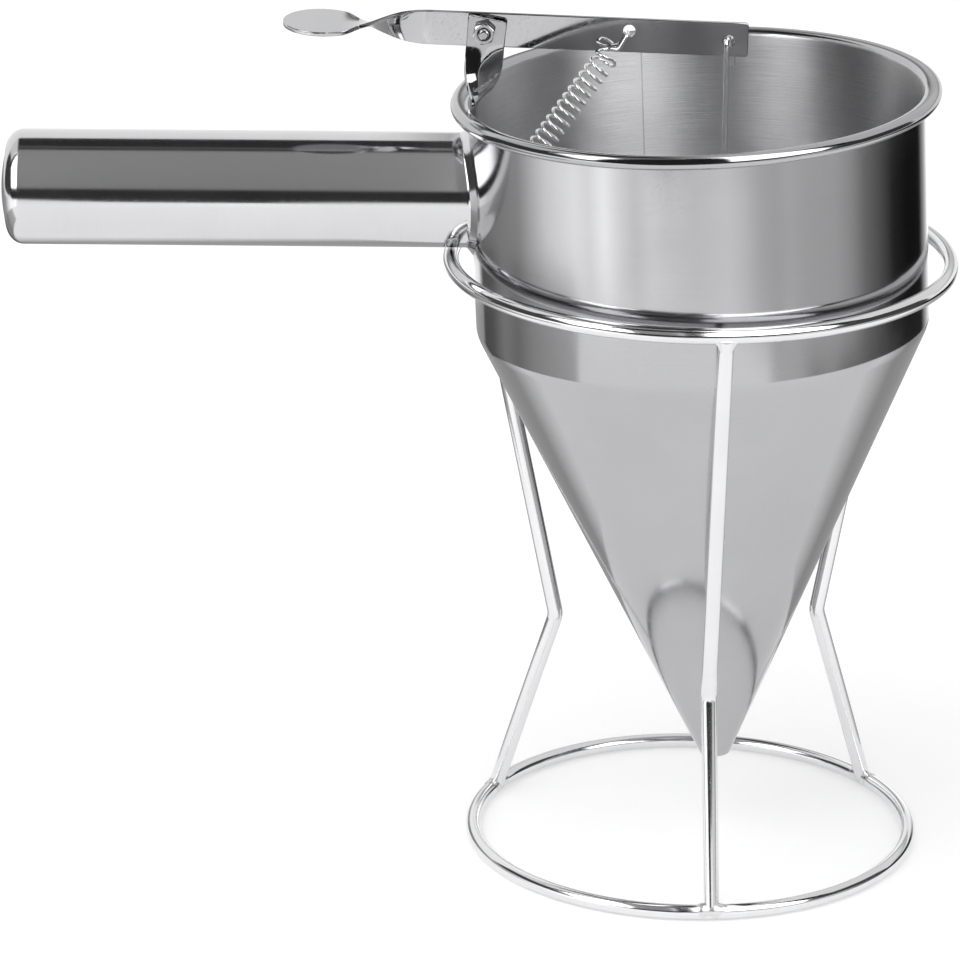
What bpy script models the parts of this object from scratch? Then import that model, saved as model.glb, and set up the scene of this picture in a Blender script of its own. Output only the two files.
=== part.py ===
"""A funnel batter dispenser of polished steel sheet, standing in a wire ring stand.

A thumb lever on the rim lifts a rod and its plug out of the nozzle, and a spring shuts it.
Lengths are in metres and angles in degrees. +Z is up, and the stand's foot rests at Z = 0.
The cup leans a little in its stand, so its pieces are children of an empty at its rim.
"""
import math

import bmesh
import bpy
from mathutils import Vector

# Fits, cuts and how finely round shapes are divided
touch_gap = 0.0003
cut_overrun = 0.002
large_round_steps = 72
small_round_steps = 40
hole_steps = 20
bend_steps = 5
hook_bend_steps = 4
bead_steps = 10
rim_roll_steps = 4
shoulder_steps = 4
cap_corner_steps = 5
cap_dome_steps = 3
ring_section_sides = 12
twist_stations = 12
pad_stations = 14
bracket_twist_stations = 14

# Wire stand
stand_wire_d = 0.0045
ring_clearance = 0.004
top_ring_height = 0.1724
base_ring_d = 0.1248
kink_inset = 0.0189
kink_height = 0.059
kink_bend_r = 0.006
leg_top_out = 0.001
leg_count = 3
leg_turn = 6.15

# Cup: a band with a rolled rim, and a cone welded under it
cup_lean = 2.6
cup_d = 0.126
sheet_t = 0.0008
rim_bead_d = 0.0038
rim_overhang = 0.0045
rim_bead_sweep = 140
rim_neck_depth = 0.0028
band_depth = 0.065
shoulder_r = 0.008
cone_depth = 0.1295
nozzle_d = 0.0086

# Handle
handle_d = 0.032
handle_wall = 0.001
handle_length = 0.1302
handle_drop = 0.0253
handle_rise = 2.0
cap_corner_r = 0.0045
cap_dome = 0.0016
cap_skirt = 0.006

# Pivot hardware
pivot_reach = 0.0573
pivot_height = 0.0204
bolt_d = 0.003
bolt_head_d = 0.0055
bolt_head_t = 0.002
bolt_end = 0.0008
nut_across_flats = 0.0055
nut_t = 0.0024
washer_d = 0.007
washer_t = 0.0006

# Lever: a straight strap on edge, twisted flat into a thumb pad
lever_tilt = 4.0
strap_height = 0.0096
strap_t = 0.0012
strap_reach = 0.0722
twist_start = 0.014
twist_length = 0.025
pad_twist = 94.0
pad_centre = 0.0448
pad_tip_length = 0.0105
pad_neck_length = 0.0068
pad_width = 0.0201
pad_tip_share = 0.98

# Holes in the lever
rod_hole_end = 0.0053
rod_hole_drop = 0.0005
rod_hole_d = 0.0034
spring_hole_reach = 0.0396
spring_hole_rise = 0.0013
spring_hole_d = 0.0034

# Lever bracket: a strip that leans out over the rim and turns to stand on the wall
bracket_width = 0.0106
bracket_t = 0.0012
bracket_top_rise = 0.005
bracket_top_slant = 0.0025
bracket_top_reach = 0.0562
bracket_lean = 6.56
bracket_twist_drop = 0.0036
bracket_twist_height = 0.0173
bracket_foot_depth = 0.034
bracket_bend_r = 0.0016
tab_width = 0.006
tab_reach = 0.0072
tab_hole_reach = 0.0048
tab_hole_d = 0.0026

# Valve rod and plug
rod_d = 0.0016
rod_hook_bend_r = 0.0013
rod_hook_spread = 0.0008
rod_hook_run = 0.007
rod_tail = 0.0085
rod_foot_straight = 0.005
plug_seat_rise = 0.0035
plug_seat_height = 0.008
plug_top_height = 0.006
plug_top_d = 0.006
plug_bore_depth = 0.005

# Return spring
spring_d = 0.007
spring_wire_d = 0.0008
spring_turns = 17
points_per_turn = 9
spring_loop_d = 0.008
spring_loop_back = 0.00545
spring_loop_front = 0.0054
spring_loop_drop = 0.0045
spring_loop_start = -45.0
spring_coil_back = 0.00757
spring_coil_drop = 0.00817
spring_foot_hook = 0.0085
spring_hook_bend_r = 0.0009
spring_hook_tail = 0.0028
spring_foot_tail = 0.0024
spring_run_in_turns = 0.5

# Sizes that follow
wire_r = stand_wire_d / 2
cup_r = cup_d / 2
handle_r = handle_d / 2
nozzle_r = nozzle_d / 2
bead_r = rim_bead_d / 2
bolt_r = bolt_d / 2
rod_r = rod_d / 2
cup_inner_r = cup_r - sheet_t
top_ring_r = cup_r + ring_clearance + wire_r
base_ring_r = base_ring_d / 2
kink_r = base_ring_r - kink_inset
rod_hole_reach = strap_reach - rod_hole_end
cone_slope = (cup_r - nozzle_r) / cone_depth
cone_angle = math.atan(cone_slope)
nozzle_z = -(band_depth + cone_depth)
section_flat_height = wire_r * math.cos(math.pi / ring_section_sides)
hole_play_d = bolt_d + 2 * touch_gap

# Where the cup sits: the handle lies on the top ring, and the ring's centre is on its axis
lean = math.radians(cup_lean)
rise = math.radians(handle_rise)
tilt = math.radians(lever_tilt)
seat_distance = handle_r + wire_r + touch_gap
ring_out = top_ring_r * math.cos(lean) - cup_r
rim_above_ring = math.cos(lean) * (
    math.sin(lean) * top_ring_r + handle_drop
    + (seat_distance - ring_out * math.sin(rise)) / math.cos(rise))
cup_origin = Vector((-math.tan(lean) * rim_above_ring, 0, top_ring_height + rim_above_ring))

# The model's origin is under the middle of its length
handle_end = Vector((-cup_r - handle_length * math.cos(rise), 0,
                     -handle_drop + handle_length * math.sin(rise)))
left_end = (cup_origin.x + math.cos(lean) * handle_end.x - math.sin(lean) * handle_end.z)
right_end = top_ring_r + wire_r
stand_offset = -(left_end + right_end) / 2

# Levels across the pivot, from the lever's middle plane
bolt_head_y = strap_t / 2 + touch_gap
washer_y = -(strap_t / 2 + touch_gap + washer_t)
bracket_y = washer_y - touch_gap - bracket_t / 2
nut_y = bracket_y - bracket_t / 2 - touch_gap - nut_t
pivot = Vector((-pivot_reach, 0, pivot_height))


def start_scene():
    """Clear the scene and make the collections for the pieces and for their cutters."""
    for obj in list(bpy.data.objects):
        bpy.data.objects.remove(obj, do_unlink=True)
    for name in ("batter_dispenser", "cutters"):
        collection = bpy.data.collections.new(name)
        bpy.context.scene.collection.children.link(collection)


def steel(name, color, roughness):
    """Return a metal material."""
    material = bpy.data.materials.new(name)
    material.use_nodes = True
    shader = material.node_tree.nodes["Principled BSDF"]
    shader.inputs["Base Color"].default_value = (*color, 1)
    shader.inputs["Metallic"].default_value = 1
    shader.inputs["Roughness"].default_value = roughness
    return material


def empty(name, parent, location, turn=0):
    """Return an empty at a place in its parent, turned about Y."""
    obj = bpy.data.objects.new(name, None)
    bpy.data.collections["batter_dispenser"].objects.link(obj)
    obj.parent = parent
    obj.location = location
    obj.rotation_euler = (0, turn, 0)
    return obj


def piece(name, data, parent, material=None, cutter=False):
    """Link an object with its data, its material and its parent."""
    obj = bpy.data.objects.new(name, data)
    bpy.data.collections["cutters" if cutter else "batter_dispenser"].objects.link(obj)
    obj.parent = parent
    if material:
        data.materials.append(material)
    if cutter:
        obj.hide_render = True
        obj.display_type = "WIRE"
    return obj


def shade(mesh, sharp_angle=35):
    """Shade a mesh smooth between its sharp edges."""
    mesh.shade_smooth()
    mesh.set_sharp_from_angle(angle=math.radians(sharp_angle))


def turned(name, profile, steps, parent, material, closed=True):
    """Turn a profile of (radius, height) points about Z. It runs down its outer side."""
    mesh = bpy.data.meshes.new(name)
    edges = [(i, i + 1) for i in range(len(profile) - 1)]
    if closed:
        edges.append((len(profile) - 1, 0))
    mesh.from_pydata([(r, 0, z) for r, z in profile], edges, [])
    obj = piece(name, mesh, parent, material)
    screw = obj.modifiers.new("turn", "SCREW")
    screw.steps = steps
    screw.render_steps = steps
    screw.use_merge_vertices = True
    screw.merge_threshold = 0.00001
    screw.use_smooth_shade = True
    return obj


def arc(centre, radius, start, end, steps):
    """Return points of an arc from one angle to another, both ends included."""
    angles = [math.radians(start + (end - start) * i / steps) for i in range(steps + 1)]
    return [(centre[0] + radius * math.cos(a), centre[1] + radius * math.sin(a)) for a in angles]


def rounded_path(corners, bend_r, steps=bend_steps):
    """Round each inner corner of a path of points with an arc."""
    corners = [Vector(corner) for corner in corners]
    path = [corners[0]]
    for before, corner, after in zip(corners, corners[1:], corners[2:]):
        come = (corner - before).normalized()
        leave = (after - corner).normalized()
        half_turn = come.angle(leave) / 2
        reach = bend_r * math.tan(half_turn)
        centre = corner + (leave - come).normalized() * bend_r / math.cos(half_turn)
        first = (corner - come * reach - centre).normalized()
        last = (corner + leave * reach - centre).normalized()
        for i in range(steps + 1):
            path.append(centre + first.slerp(last, i / steps) * bend_r)
    path.append(corners[-1])
    return path


def wire(name, points, wire_d, parent, material, resolution=2):
    """Run a round wire with flat ends along a path."""
    curve = bpy.data.curves.new(name, "CURVE")
    curve.dimensions = "3D"
    curve.bevel_depth = wire_d / 2
    curve.bevel_resolution = resolution
    curve.use_fill_caps = True
    spline = curve.splines.new("POLY")
    spline.points.add(len(points) - 1)
    for spot, point in zip(spline.points, points):
        spot.co = (*point, 1)
    return piece(name, curve, parent, material)


def rod_mesh(name, radius, start, end, sides, parent, material=None, cutter=False):
    """Return a round or many-sided bar from one point to another."""
    start, end = Vector(start), Vector(end)
    axis = end - start
    shape = bmesh.new()
    bmesh.ops.create_cone(shape, cap_ends=True, segments=sides, radius1=radius,
                          radius2=radius, depth=axis.length)
    turn = axis.to_track_quat("Z", "Y").to_matrix().to_4x4()
    bmesh.ops.transform(shape, matrix=turn, verts=shape.verts)
    bmesh.ops.translate(shape, vec=(start + end) / 2, verts=shape.verts)
    mesh = bpy.data.meshes.new(name)
    shape.to_mesh(mesh)
    shape.free()
    return piece(name, mesh, parent, material, cutter)


def cut(obj, cutter, operation="DIFFERENCE"):
    """Cut one piece with another shape."""
    boolean = obj.modifiers.new(cutter.name, "BOOLEAN")
    boolean.operation = operation
    boolean.object = cutter


def strip(name, stations, thickness, parent, material):
    """Loft a strip through stations of (left edge, right edge, face normal)."""
    shape = bmesh.new()
    rings = []
    for left, right, normal in stations:
        half = normal.normalized() * thickness / 2
        rings.append([shape.verts.new(left + half), shape.verts.new(right + half),
                      shape.verts.new(right - half), shape.verts.new(left - half)])
    for ring, following in zip(rings, rings[1:]):
        for i in range(4):
            j = (i + 1) % 4
            shape.faces.new((ring[i], ring[j], following[j], following[i]))
    shape.faces.new(rings[0][::-1])
    shape.faces.new(rings[-1])
    bmesh.ops.recalc_face_normals(shape, faces=shape.faces)
    mesh = bpy.data.meshes.new(name)
    shape.to_mesh(mesh)
    shape.free()
    return piece(name, mesh, parent, material)


def ease(share):
    """Ease a share from 0 to 1 with no jump in slope."""
    share = min(max(share, 0), 1)
    return share * share * (3 - 2 * share)


def ring_profile(ring_r, height):
    """Section of a wire ring, with a flat side at its lowest point."""
    flat_share = 1 / 2
    section = []
    for i in range(ring_section_sides):
        angle = math.radians(90) - (i + flat_share) * 2 * math.pi / ring_section_sides
        section.append((ring_r + wire_r * math.cos(angle), height + wire_r * math.sin(angle)))
    return section


def build_stand(parent, metal):
    """Two wire rings and the bent legs between them."""
    turned("base_ring", ring_profile(base_ring_r, section_flat_height), large_round_steps,
           parent, metal)
    turned("top_ring", ring_profile(top_ring_r, top_ring_height), large_round_steps,
           parent, metal)
    for i in range(leg_count):
        angle = math.radians(-90 + leg_turn + 360 * i / leg_count)
        out = Vector((math.cos(angle), math.sin(angle), 0))
        up = Vector((0, 0, 1))
        top_weld = out * top_ring_r + up * top_ring_height
        foot_weld = out * base_ring_r + up * section_flat_height
        kink = out * kink_r + up * kink_height
        rising = (top_weld - kink).normalized()
        sideways = (out - rising * out.dot(rising)).normalized()
        top = top_weld - rising * (wire_r + touch_gap) + sideways * leg_top_out
        foot = foot_weld + (kink - foot_weld).normalized() * (wire_r + touch_gap)
        wire(f"leg_{i + 1}", rounded_path([top, kink, foot], kink_bend_r), stand_wire_d,
             parent, metal)


def cone_outside(z):
    """Outer radius of the cone at a height of the cup."""
    return nozzle_r + (z - nozzle_z) * cone_slope


def build_band(parent, metal):
    """The cup's upright band, with its rim rolled outwards over a bead."""
    bead_x = cup_r + rim_overhang - bead_r
    shoulder_reach = shoulder_r * math.tan(cone_angle / 2)
    foot = -band_depth + shoulder_reach + touch_gap
    profile = arc((bead_x, 0), bead_r, 90, -rim_bead_sweep, bead_steps)
    profile += [(cup_r, -rim_neck_depth), (cup_r, foot), (cup_inner_r, foot)]
    for i in range(rim_roll_steps):
        angle = math.radians(90) * i / rim_roll_steps
        profile.append((bead_x - (bead_x - cup_inner_r) * math.cos(angle),
                        bead_r * math.sin(angle)))
    return turned("cup_band", profile, large_round_steps, parent, metal)


def build_cone(parent, metal):
    """The cup's cone, from the weld under the band to the open nozzle."""
    turn = math.degrees(cone_angle)
    reach = shoulder_r * math.tan(cone_angle / 2)
    centre = (cup_r - shoulder_r, -band_depth + reach)
    outer = arc(centre, shoulder_r, 0, -turn, shoulder_steps)
    inner = arc(centre, shoulder_r - sheet_t, 0, -turn, shoulder_steps)
    lip = Vector((math.cos(cone_angle), -math.sin(cone_angle))) * sheet_t
    outer.append((nozzle_r, nozzle_z))
    inner.append((nozzle_r - lip.x, nozzle_z - lip.y))
    return turned("cup_cone", outer + inner[::-1], large_round_steps, parent, metal)


def build_handle(cup, metal):
    """A tube welded to the band by its hollowed end, and the pressed cap in its other end."""
    frame = empty("handle_axis", cup, (-cup_r, 0, -handle_drop), rise - math.radians(90))
    tube_end = handle_length - cap_dome - cap_corner_r
    bore_r = handle_r - handle_wall
    inside_wall = cup_r - math.sqrt(cup_r ** 2 - handle_r ** 2) + cut_overrun
    root = -(inside_wall + handle_r * math.tan(rise))
    tube = turned("handle_tube", [(handle_r, tube_end), (handle_r, root), (bore_r, root),
                                  (bore_r, tube_end)], small_round_steps, frame, metal)
    saddle = rod_mesh("saddle_cutter", cup_r + touch_gap, (0, 0, -handle_drop - handle_d),
                      (0, 0, -handle_drop + handle_d), large_round_steps * 2, cup, cutter=True)
    cut(tube, saddle)

    cap_foot = tube_end + touch_gap
    skirt_r = bore_r - touch_gap
    corner = arc((handle_r - cap_corner_r, cap_foot), cap_corner_r, 90, 0, cap_corner_steps)
    face_edge = cap_foot + cap_corner_r
    dome_drop = handle_length - face_edge
    dome = [((handle_r - cap_corner_r) * i / cap_dome_steps,
             handle_length - dome_drop * (i / cap_dome_steps) ** 2) for i in range(cap_dome_steps)]
    profile = dome + corner
    profile += [(skirt_r, cap_foot), (skirt_r, tube_end - cap_skirt),
                (skirt_r - handle_wall, tube_end - cap_skirt),
                (skirt_r - handle_wall, face_edge - handle_wall), (0, face_edge - handle_wall)]
    turned("handle_end_cap", profile, small_round_steps, frame, metal, closed=False)


def bracket_at_wall(angle):
    """Middle of the bracket, turned by an angle, with its edge held just off the wall."""
    half = bracket_width / 2
    corner_y = half * math.sin(angle) + bracket_t / 2 * math.cos(angle) - bracket_y
    corner_x = half * math.cos(angle) + bracket_t / 2 * math.sin(angle)
    return corner_x - math.sqrt((cup_inner_r - touch_gap) ** 2 - corner_y ** 2)


def bracket_middle(drop, angle):
    """Middle of the bracket at a depth below its top: it leans outwards, down to the wall."""
    leaning = -bracket_top_reach - drop * math.tan(math.radians(bracket_lean))
    return min(leaning, bracket_at_wall(angle))


def bracket_stations():
    """Stations down the bracket: it faces along the cup, turns to the wall, ends in a tab."""
    half = bracket_width / 2
    wall_x = bracket_at_wall(math.radians(90))
    top = pivot_height + bracket_top_rise
    twist_top = pivot_height - bracket_twist_drop
    stations = [(Vector((-bracket_top_reach - half, bracket_y, top)),
                 Vector((-bracket_top_reach + half, bracket_y, top - bracket_top_slant)),
                 Vector((0, 1, 0)))]
    for i in range(bracket_twist_stations + 1):
        share = i / bracket_twist_stations
        angle = math.radians(90) * (1 - math.cos(math.radians(90) * share))
        height = twist_top - bracket_twist_height * share
        across = Vector((math.cos(angle), math.sin(angle), 0))
        middle = Vector((bracket_middle(top - height, angle), bracket_y, height))
        stations.append((middle - across * half, middle + across * half,
                         Vector((-across.y, across.x, 0))))
    foot = rounded_path([(wall_x, bracket_y, twist_top - bracket_twist_height),
                         (wall_x, bracket_y, -bracket_foot_depth),
                         (wall_x + tab_reach, bracket_y, -bracket_foot_depth)],
                        bracket_bend_r)[1:]
    for i, point in enumerate(foot):
        before = foot[i - 1] if i else point + Vector((0, 0, 1))
        after = foot[i + 1] if i + 1 < len(foot) else point + Vector((1, 0, 0))
        along = (after - before).normalized()
        across = Vector((0, tab_width / 2, 0))
        stations.append((point - across, point + across, Vector((along.z, 0, -along.x))))
    return stations


def tab_hole():
    """Middle of the hole in the bracket's tab, where the spring's foot is hooked."""
    return Vector((bracket_at_wall(math.radians(90)) + tab_hole_reach, bracket_y,
                   -bracket_foot_depth))


def build_bracket(cup, metal):
    """The bracket, with a hole for the pivot bolt and one in its tab for the spring."""
    bracket = strip("lever_bracket", bracket_stations(), bracket_t, cup, metal)
    side = Vector((0, bracket_t / 2 + cut_overrun, 0))
    hole = pivot + Vector((0, bracket_y, 0))
    cut(bracket, rod_mesh("bracket_pivot_cutter", hole_play_d / 2, hole - side, hole + side,
                          hole_steps, cup, cutter=True))
    up = Vector((0, 0, bracket_t / 2 + cut_overrun))
    cut(bracket, rod_mesh("tab_cutter", tab_hole_d / 2, tab_hole() - up, tab_hole() + up,
                          hole_steps, cup, cutter=True))


def build_pivot(cup, metal):
    """A hex-nutted bolt with a washer between the bracket and the lever."""
    along = Vector((0, 1, 0))
    shank = rod_mesh("pivot_bolt", bolt_r, pivot + along * (bolt_head_y + bolt_head_t / 2),
                     pivot + along * (nut_y - bolt_end), hole_steps, cup, metal)
    head = rod_mesh("bolt_head_joiner", bolt_head_d / 2, pivot + along * bolt_head_y,
                    pivot + along * (bolt_head_y + bolt_head_t), hole_steps, cup, cutter=True)
    cut(shank, head, "UNION")
    bore = rod_mesh("pivot_bore_cutter", hole_play_d / 2,
                    pivot + along * (nut_y - cut_overrun),
                    pivot + along * (washer_y + washer_t + cut_overrun), hole_steps, cup,
                    cutter=True)
    nut_r = nut_across_flats / 2 / math.cos(math.pi / 6)
    nut = rod_mesh("pivot_nut", nut_r, pivot + along * nut_y, pivot + along * (nut_y + nut_t),
                   6, cup, metal)
    washer = rod_mesh("pivot_washer", washer_d / 2, pivot + along * washer_y,
                      pivot + along * (washer_y + washer_t), hole_steps, cup, metal)
    cut(nut, bore)
    cut(washer, bore)


def pad_span(distance):
    """Width of the lever at a distance past the pivot on the thumb's side."""
    length = pad_tip_length if distance > pad_centre else pad_neck_length
    oval = pad_width * math.sqrt(max(1 - ((distance - pad_centre) / length) ** 2, 0))
    if distance > pad_centre:
        return oval
    neck_power = 6
    return (strap_height ** neck_power + oval ** neck_power) ** (1 / neck_power)


def lever_station(along):
    """Edges and face normal of the lever at a distance from its pivot, rod side positive."""
    share = ease((-along - twist_start) / twist_length)
    angle = math.radians(pad_twist) * share
    width = strap_height if -along < twist_start else pad_span(-along)
    edge = Vector((0, -math.sin(angle), math.cos(angle))) * width / 2
    middle = Vector((along, 0, 0))
    return middle - edge, middle + edge, Vector((0, math.cos(angle), math.sin(angle)))


def lever_distances():
    """Distances from the pivot of the lever's stations, from the rod's end to the pad's tip."""
    twist_end = twist_start + twist_length
    pad_tip = pad_centre + pad_tip_length
    stops = [strap_reach]
    stops += [-twist_start - twist_length * i / twist_stations for i in range(twist_stations)]
    for i in range(pad_stations + 1):
        round_share = math.sin(math.radians(90) * pad_tip_share * i / pad_stations)
        stops.append(-twist_end - (pad_tip - twist_end) * round_share)
    return stops


def lever_point(along, up, y=0):
    """Place in the cup of a point of the lever at rest."""
    return pivot + Vector((along * math.cos(tilt) + up * math.sin(tilt), y,
                           -along * math.sin(tilt) + up * math.cos(tilt)))


def build_lever(cup, metal):
    """The lever, with its pivot hole and the holes for the rod and the spring."""
    frame = empty("lever_pivot", cup, pivot, tilt)
    lever = strip("lever", [lever_station(d) for d in lever_distances()], strap_t, frame, metal)
    holes = (("lever_pivot_cutter", 0, 0, hole_play_d),
             ("rod_hole_cutter", rod_hole_reach, -rod_hole_drop, rod_hole_d),
             ("spring_hole_cutter", spring_hole_reach, spring_hole_rise, spring_hole_d))
    side = Vector((0, strap_t / 2 + cut_overrun, 0))
    for name, along, up, diameter in holes:
        middle = Vector((along, 0, up))
        cut(lever, rod_mesh(name, diameter / 2, middle - side, middle + side, hole_steps,
                            frame, cutter=True))


def rod_hook_place():
    """Middle of the rod's hook, which bears on the top of its hole in the lever."""
    lift = rod_hole_d / 2 - rod_r - touch_gap
    return lever_point(rod_hole_reach, -rod_hole_drop + lift)


def plug_heights():
    """Heights in the cup of the plug's foot, of its widest level and of its top."""
    foot = nozzle_z + plug_seat_rise
    shoulder = foot + plug_seat_height
    return foot, shoulder, shoulder + plug_top_height


def build_valve(cup, rod_metal, plug_metal):
    """The wire rod hooked into the lever, and the cone-shaped plug at its foot."""
    hook = rod_hook_place()
    frame = empty("rod_hook", cup, hook)
    foot, shoulder, top = plug_heights()
    side = Vector((0, strap_t / 2 + touch_gap * 2 + rod_r + rod_hook_bend_r / 2, 0))
    spread = Vector((rod_hook_spread, 0, 0))
    down = Vector((0, 0, -1))
    bore_foot = Vector((0, 0, top - plug_bore_depth + touch_gap)) - hook
    bend = Vector((0, 0, top + rod_foot_straight)) - hook
    front = -side - spread
    back = side + spread
    corners = [bore_foot, bend, front + down * rod_hook_run, front, back, back + down * rod_tail]
    wire("valve_rod", rounded_path(corners, rod_hook_bend_r), rod_d, frame, rod_metal)

    clearance = (sheet_t + touch_gap) / math.cos(cone_angle)
    bore_r = rod_r + touch_gap
    bore_floor = top - plug_bore_depth
    profile = [(0, bore_floor), (bore_r, bore_floor), (bore_r, top), (plug_top_d / 2, top),
               (cone_outside(shoulder) - clearance, shoulder),
               (cone_outside(foot) - clearance, foot), (0, foot)]
    plug = turned("valve_plug", profile, small_round_steps, frame, plug_metal, closed=False)
    plug.location = -hook


def spring_coil(hole, over_tab):
    """Points of the coil. A level loop in front of the lever swings round into its turns."""
    straight_down = Vector((0, 0, -1))
    loop_middle = hole - Vector((spring_loop_back, spring_loop_front, spring_loop_drop))
    top = hole - Vector((spring_coil_back, -bracket_y, spring_coil_drop))
    axis = (over_tab - top).normalized()
    pitch = ((over_tab - top).length - spring_foot_hook) / spring_turns
    coil_r = (spring_d - spring_wire_d) / 2
    loop_r = (spring_loop_d - spring_wire_d) / 2
    count = spring_turns * points_per_turn
    run_in = round(spring_run_in_turns * points_per_turn)
    coil = []
    for i in range(-points_per_turn, count + run_in + 1):
        swing = max(-i, 0) / points_per_turn
        past_end = max(i - count, 0) / max(run_in, 1)
        way = axis.lerp(straight_down, ease(swing)).normalized()
        first = (Vector((0, 1, 0)) - way * way.y).normalized()
        second = way.cross(first)
        radius = coil_r + (loop_r - coil_r) * ease(swing)
        radius *= math.cos(math.radians(90) * past_end)
        angle = math.radians(spring_loop_start) + 2 * math.pi * i / points_per_turn
        middle = top.lerp(loop_middle, swing) + axis * pitch * max(i, 0) / points_per_turn
        coil.append(middle + (first * math.cos(angle) - second * math.sin(angle)) * radius)
    return coil


def build_spring(cup, metal):
    """The return spring: one wire, coiled, with a hook at each end."""
    anchor = tab_hole()
    hole = lever_point(spring_hole_reach, spring_hole_rise)
    over_tab = anchor + Vector((0, 0, bracket_t / 2 + spring_hook_bend_r + spring_wire_d))
    coil = spring_coil(hole, over_tab)
    side = Vector((0, strap_t / 2 + touch_gap + spring_wire_d / 2 + spring_hook_bend_r, 0))
    pull = (coil[0] - hole + side).normalized()
    pull = (pull - Vector((0, pull.y, 0))).normalized()
    through = hole + pull * (spring_hole_d / 2 - spring_wire_d / 2 - touch_gap)
    start = [through + side + pull * spring_hook_tail, through + side, through - side, coil[0],
             coil[1]]
    finish = [coil[-1], over_tab, anchor - Vector((0, 0, bracket_t / 2 + spring_foot_tail))]
    path = rounded_path(start, spring_hook_bend_r, hook_bend_steps)[:-1] + coil[1:]
    path += rounded_path(finish, spring_hook_bend_r, hook_bend_steps)[1:]
    wire("return_spring", path, spring_wire_d, cup, metal, resolution=1)
    print("return_spring: least gap to itself in mm", round(least_gap(path) * 1000, 3))


def least_gap(path):
    """Least gap between stretches of the wire that are further apart along it than a bend."""
    bend_length = math.pi * (spring_hook_bend_r + spring_wire_d)
    lengths = [0]
    for before, after in zip(path, path[1:]):
        lengths.append(lengths[-1] + (after - before).length)
    least = min((a - b).length for a, start in zip(path, lengths)
                for b, end in zip(path, lengths) if end - start > bend_length)
    return least - spring_wire_d


def main():
    """Build every piece under the stand's and the cup's empties."""
    start_scene()
    wire_metal = steel("bright wire", (0.78, 0.78, 0.79), 0.12)
    sheet_metal = steel("polished sheet", (0.54, 0.54, 0.55), 0.14)
    tube_metal = steel("polished tube", (0.66, 0.66, 0.67), 0.10)
    strap_metal = steel("polished strap", (0.56, 0.56, 0.57), 0.16)
    screw_metal = steel("plated screw", (0.7, 0.7, 0.71), 0.2)
    spring_metal = steel("spring wire", (0.8, 0.8, 0.81), 0.18)

    stand = empty("stand_axis", None, (stand_offset, 0, 0))
    cup = empty("cup_frame", stand, cup_origin, -lean)
    build_stand(stand, wire_metal)
    build_band(cup, sheet_metal)
    build_cone(cup, sheet_metal)
    build_handle(cup, tube_metal)
    build_bracket(cup, strap_metal)
    build_pivot(cup, screw_metal)
    build_lever(cup, strap_metal)
    build_valve(cup, wire_metal, screw_metal)
    build_spring(cup, spring_metal)
    for obj in bpy.data.collections["batter_dispenser"].objects:
        if obj.type == "MESH" and not any(m.type == "SCREW" for m in obj.modifiers):
            shade(obj.data)


main()
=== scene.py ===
import math

import bpy
import numpy as np
from mathutils import Matrix, Vector


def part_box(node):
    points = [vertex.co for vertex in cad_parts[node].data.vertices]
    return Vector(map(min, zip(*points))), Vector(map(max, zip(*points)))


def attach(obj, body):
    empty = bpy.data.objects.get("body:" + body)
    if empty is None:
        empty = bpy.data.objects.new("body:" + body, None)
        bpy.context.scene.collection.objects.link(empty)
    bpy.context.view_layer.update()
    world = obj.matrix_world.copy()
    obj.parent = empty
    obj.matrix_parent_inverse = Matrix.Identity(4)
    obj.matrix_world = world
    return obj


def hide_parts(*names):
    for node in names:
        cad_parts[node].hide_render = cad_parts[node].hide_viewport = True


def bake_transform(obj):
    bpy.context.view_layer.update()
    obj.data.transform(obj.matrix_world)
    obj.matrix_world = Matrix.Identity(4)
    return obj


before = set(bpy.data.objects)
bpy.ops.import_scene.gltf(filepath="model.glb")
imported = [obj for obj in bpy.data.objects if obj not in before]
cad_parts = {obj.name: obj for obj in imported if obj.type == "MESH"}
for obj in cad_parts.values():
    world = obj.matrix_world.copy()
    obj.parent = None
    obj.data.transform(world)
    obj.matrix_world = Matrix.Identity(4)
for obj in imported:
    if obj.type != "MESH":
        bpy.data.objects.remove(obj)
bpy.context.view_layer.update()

scene = bpy.context.scene

# Camera: 1.5 m in front of the stand and 0.63 m up, looking down on the cup. The lens is
# long, so the two rings of the stand look nearly parallel.
ring_low, ring_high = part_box("top_ring")
stand_x = (ring_low.x + ring_high.x) / 2
camera_place = Vector((stand_x + 0.00535, -1.46491, 0.63194))
camera_pan, camera_pitch, camera_roll = np.radians((-2.5918, 19.8182, 0.2773))
focal_length_mm = 207.246

forward = Vector((math.sin(camera_pan) * math.cos(camera_pitch),
                  math.cos(camera_pan) * math.cos(camera_pitch), -math.sin(camera_pitch)))
right = Vector((math.cos(camera_pan), -math.sin(camera_pan), 0))
up = right.cross(forward)
across = right * math.cos(camera_roll) + up * math.sin(camera_roll)
above = up * math.cos(camera_roll) - right * math.sin(camera_roll)
camera = bpy.data.objects.new("camera", bpy.data.cameras.new("camera"))
scene.collection.objects.link(camera)
camera.matrix_world = (Matrix.Translation(camera_place)
                       @ Matrix((across, above, -forward)).transposed().to_4x4())
camera.data.sensor_fit = "HORIZONTAL"
camera.data.sensor_width = 36
camera.data.lens = focal_length_mm
scene.camera = camera
scene.view_settings.view_transform = "Standard"


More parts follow.
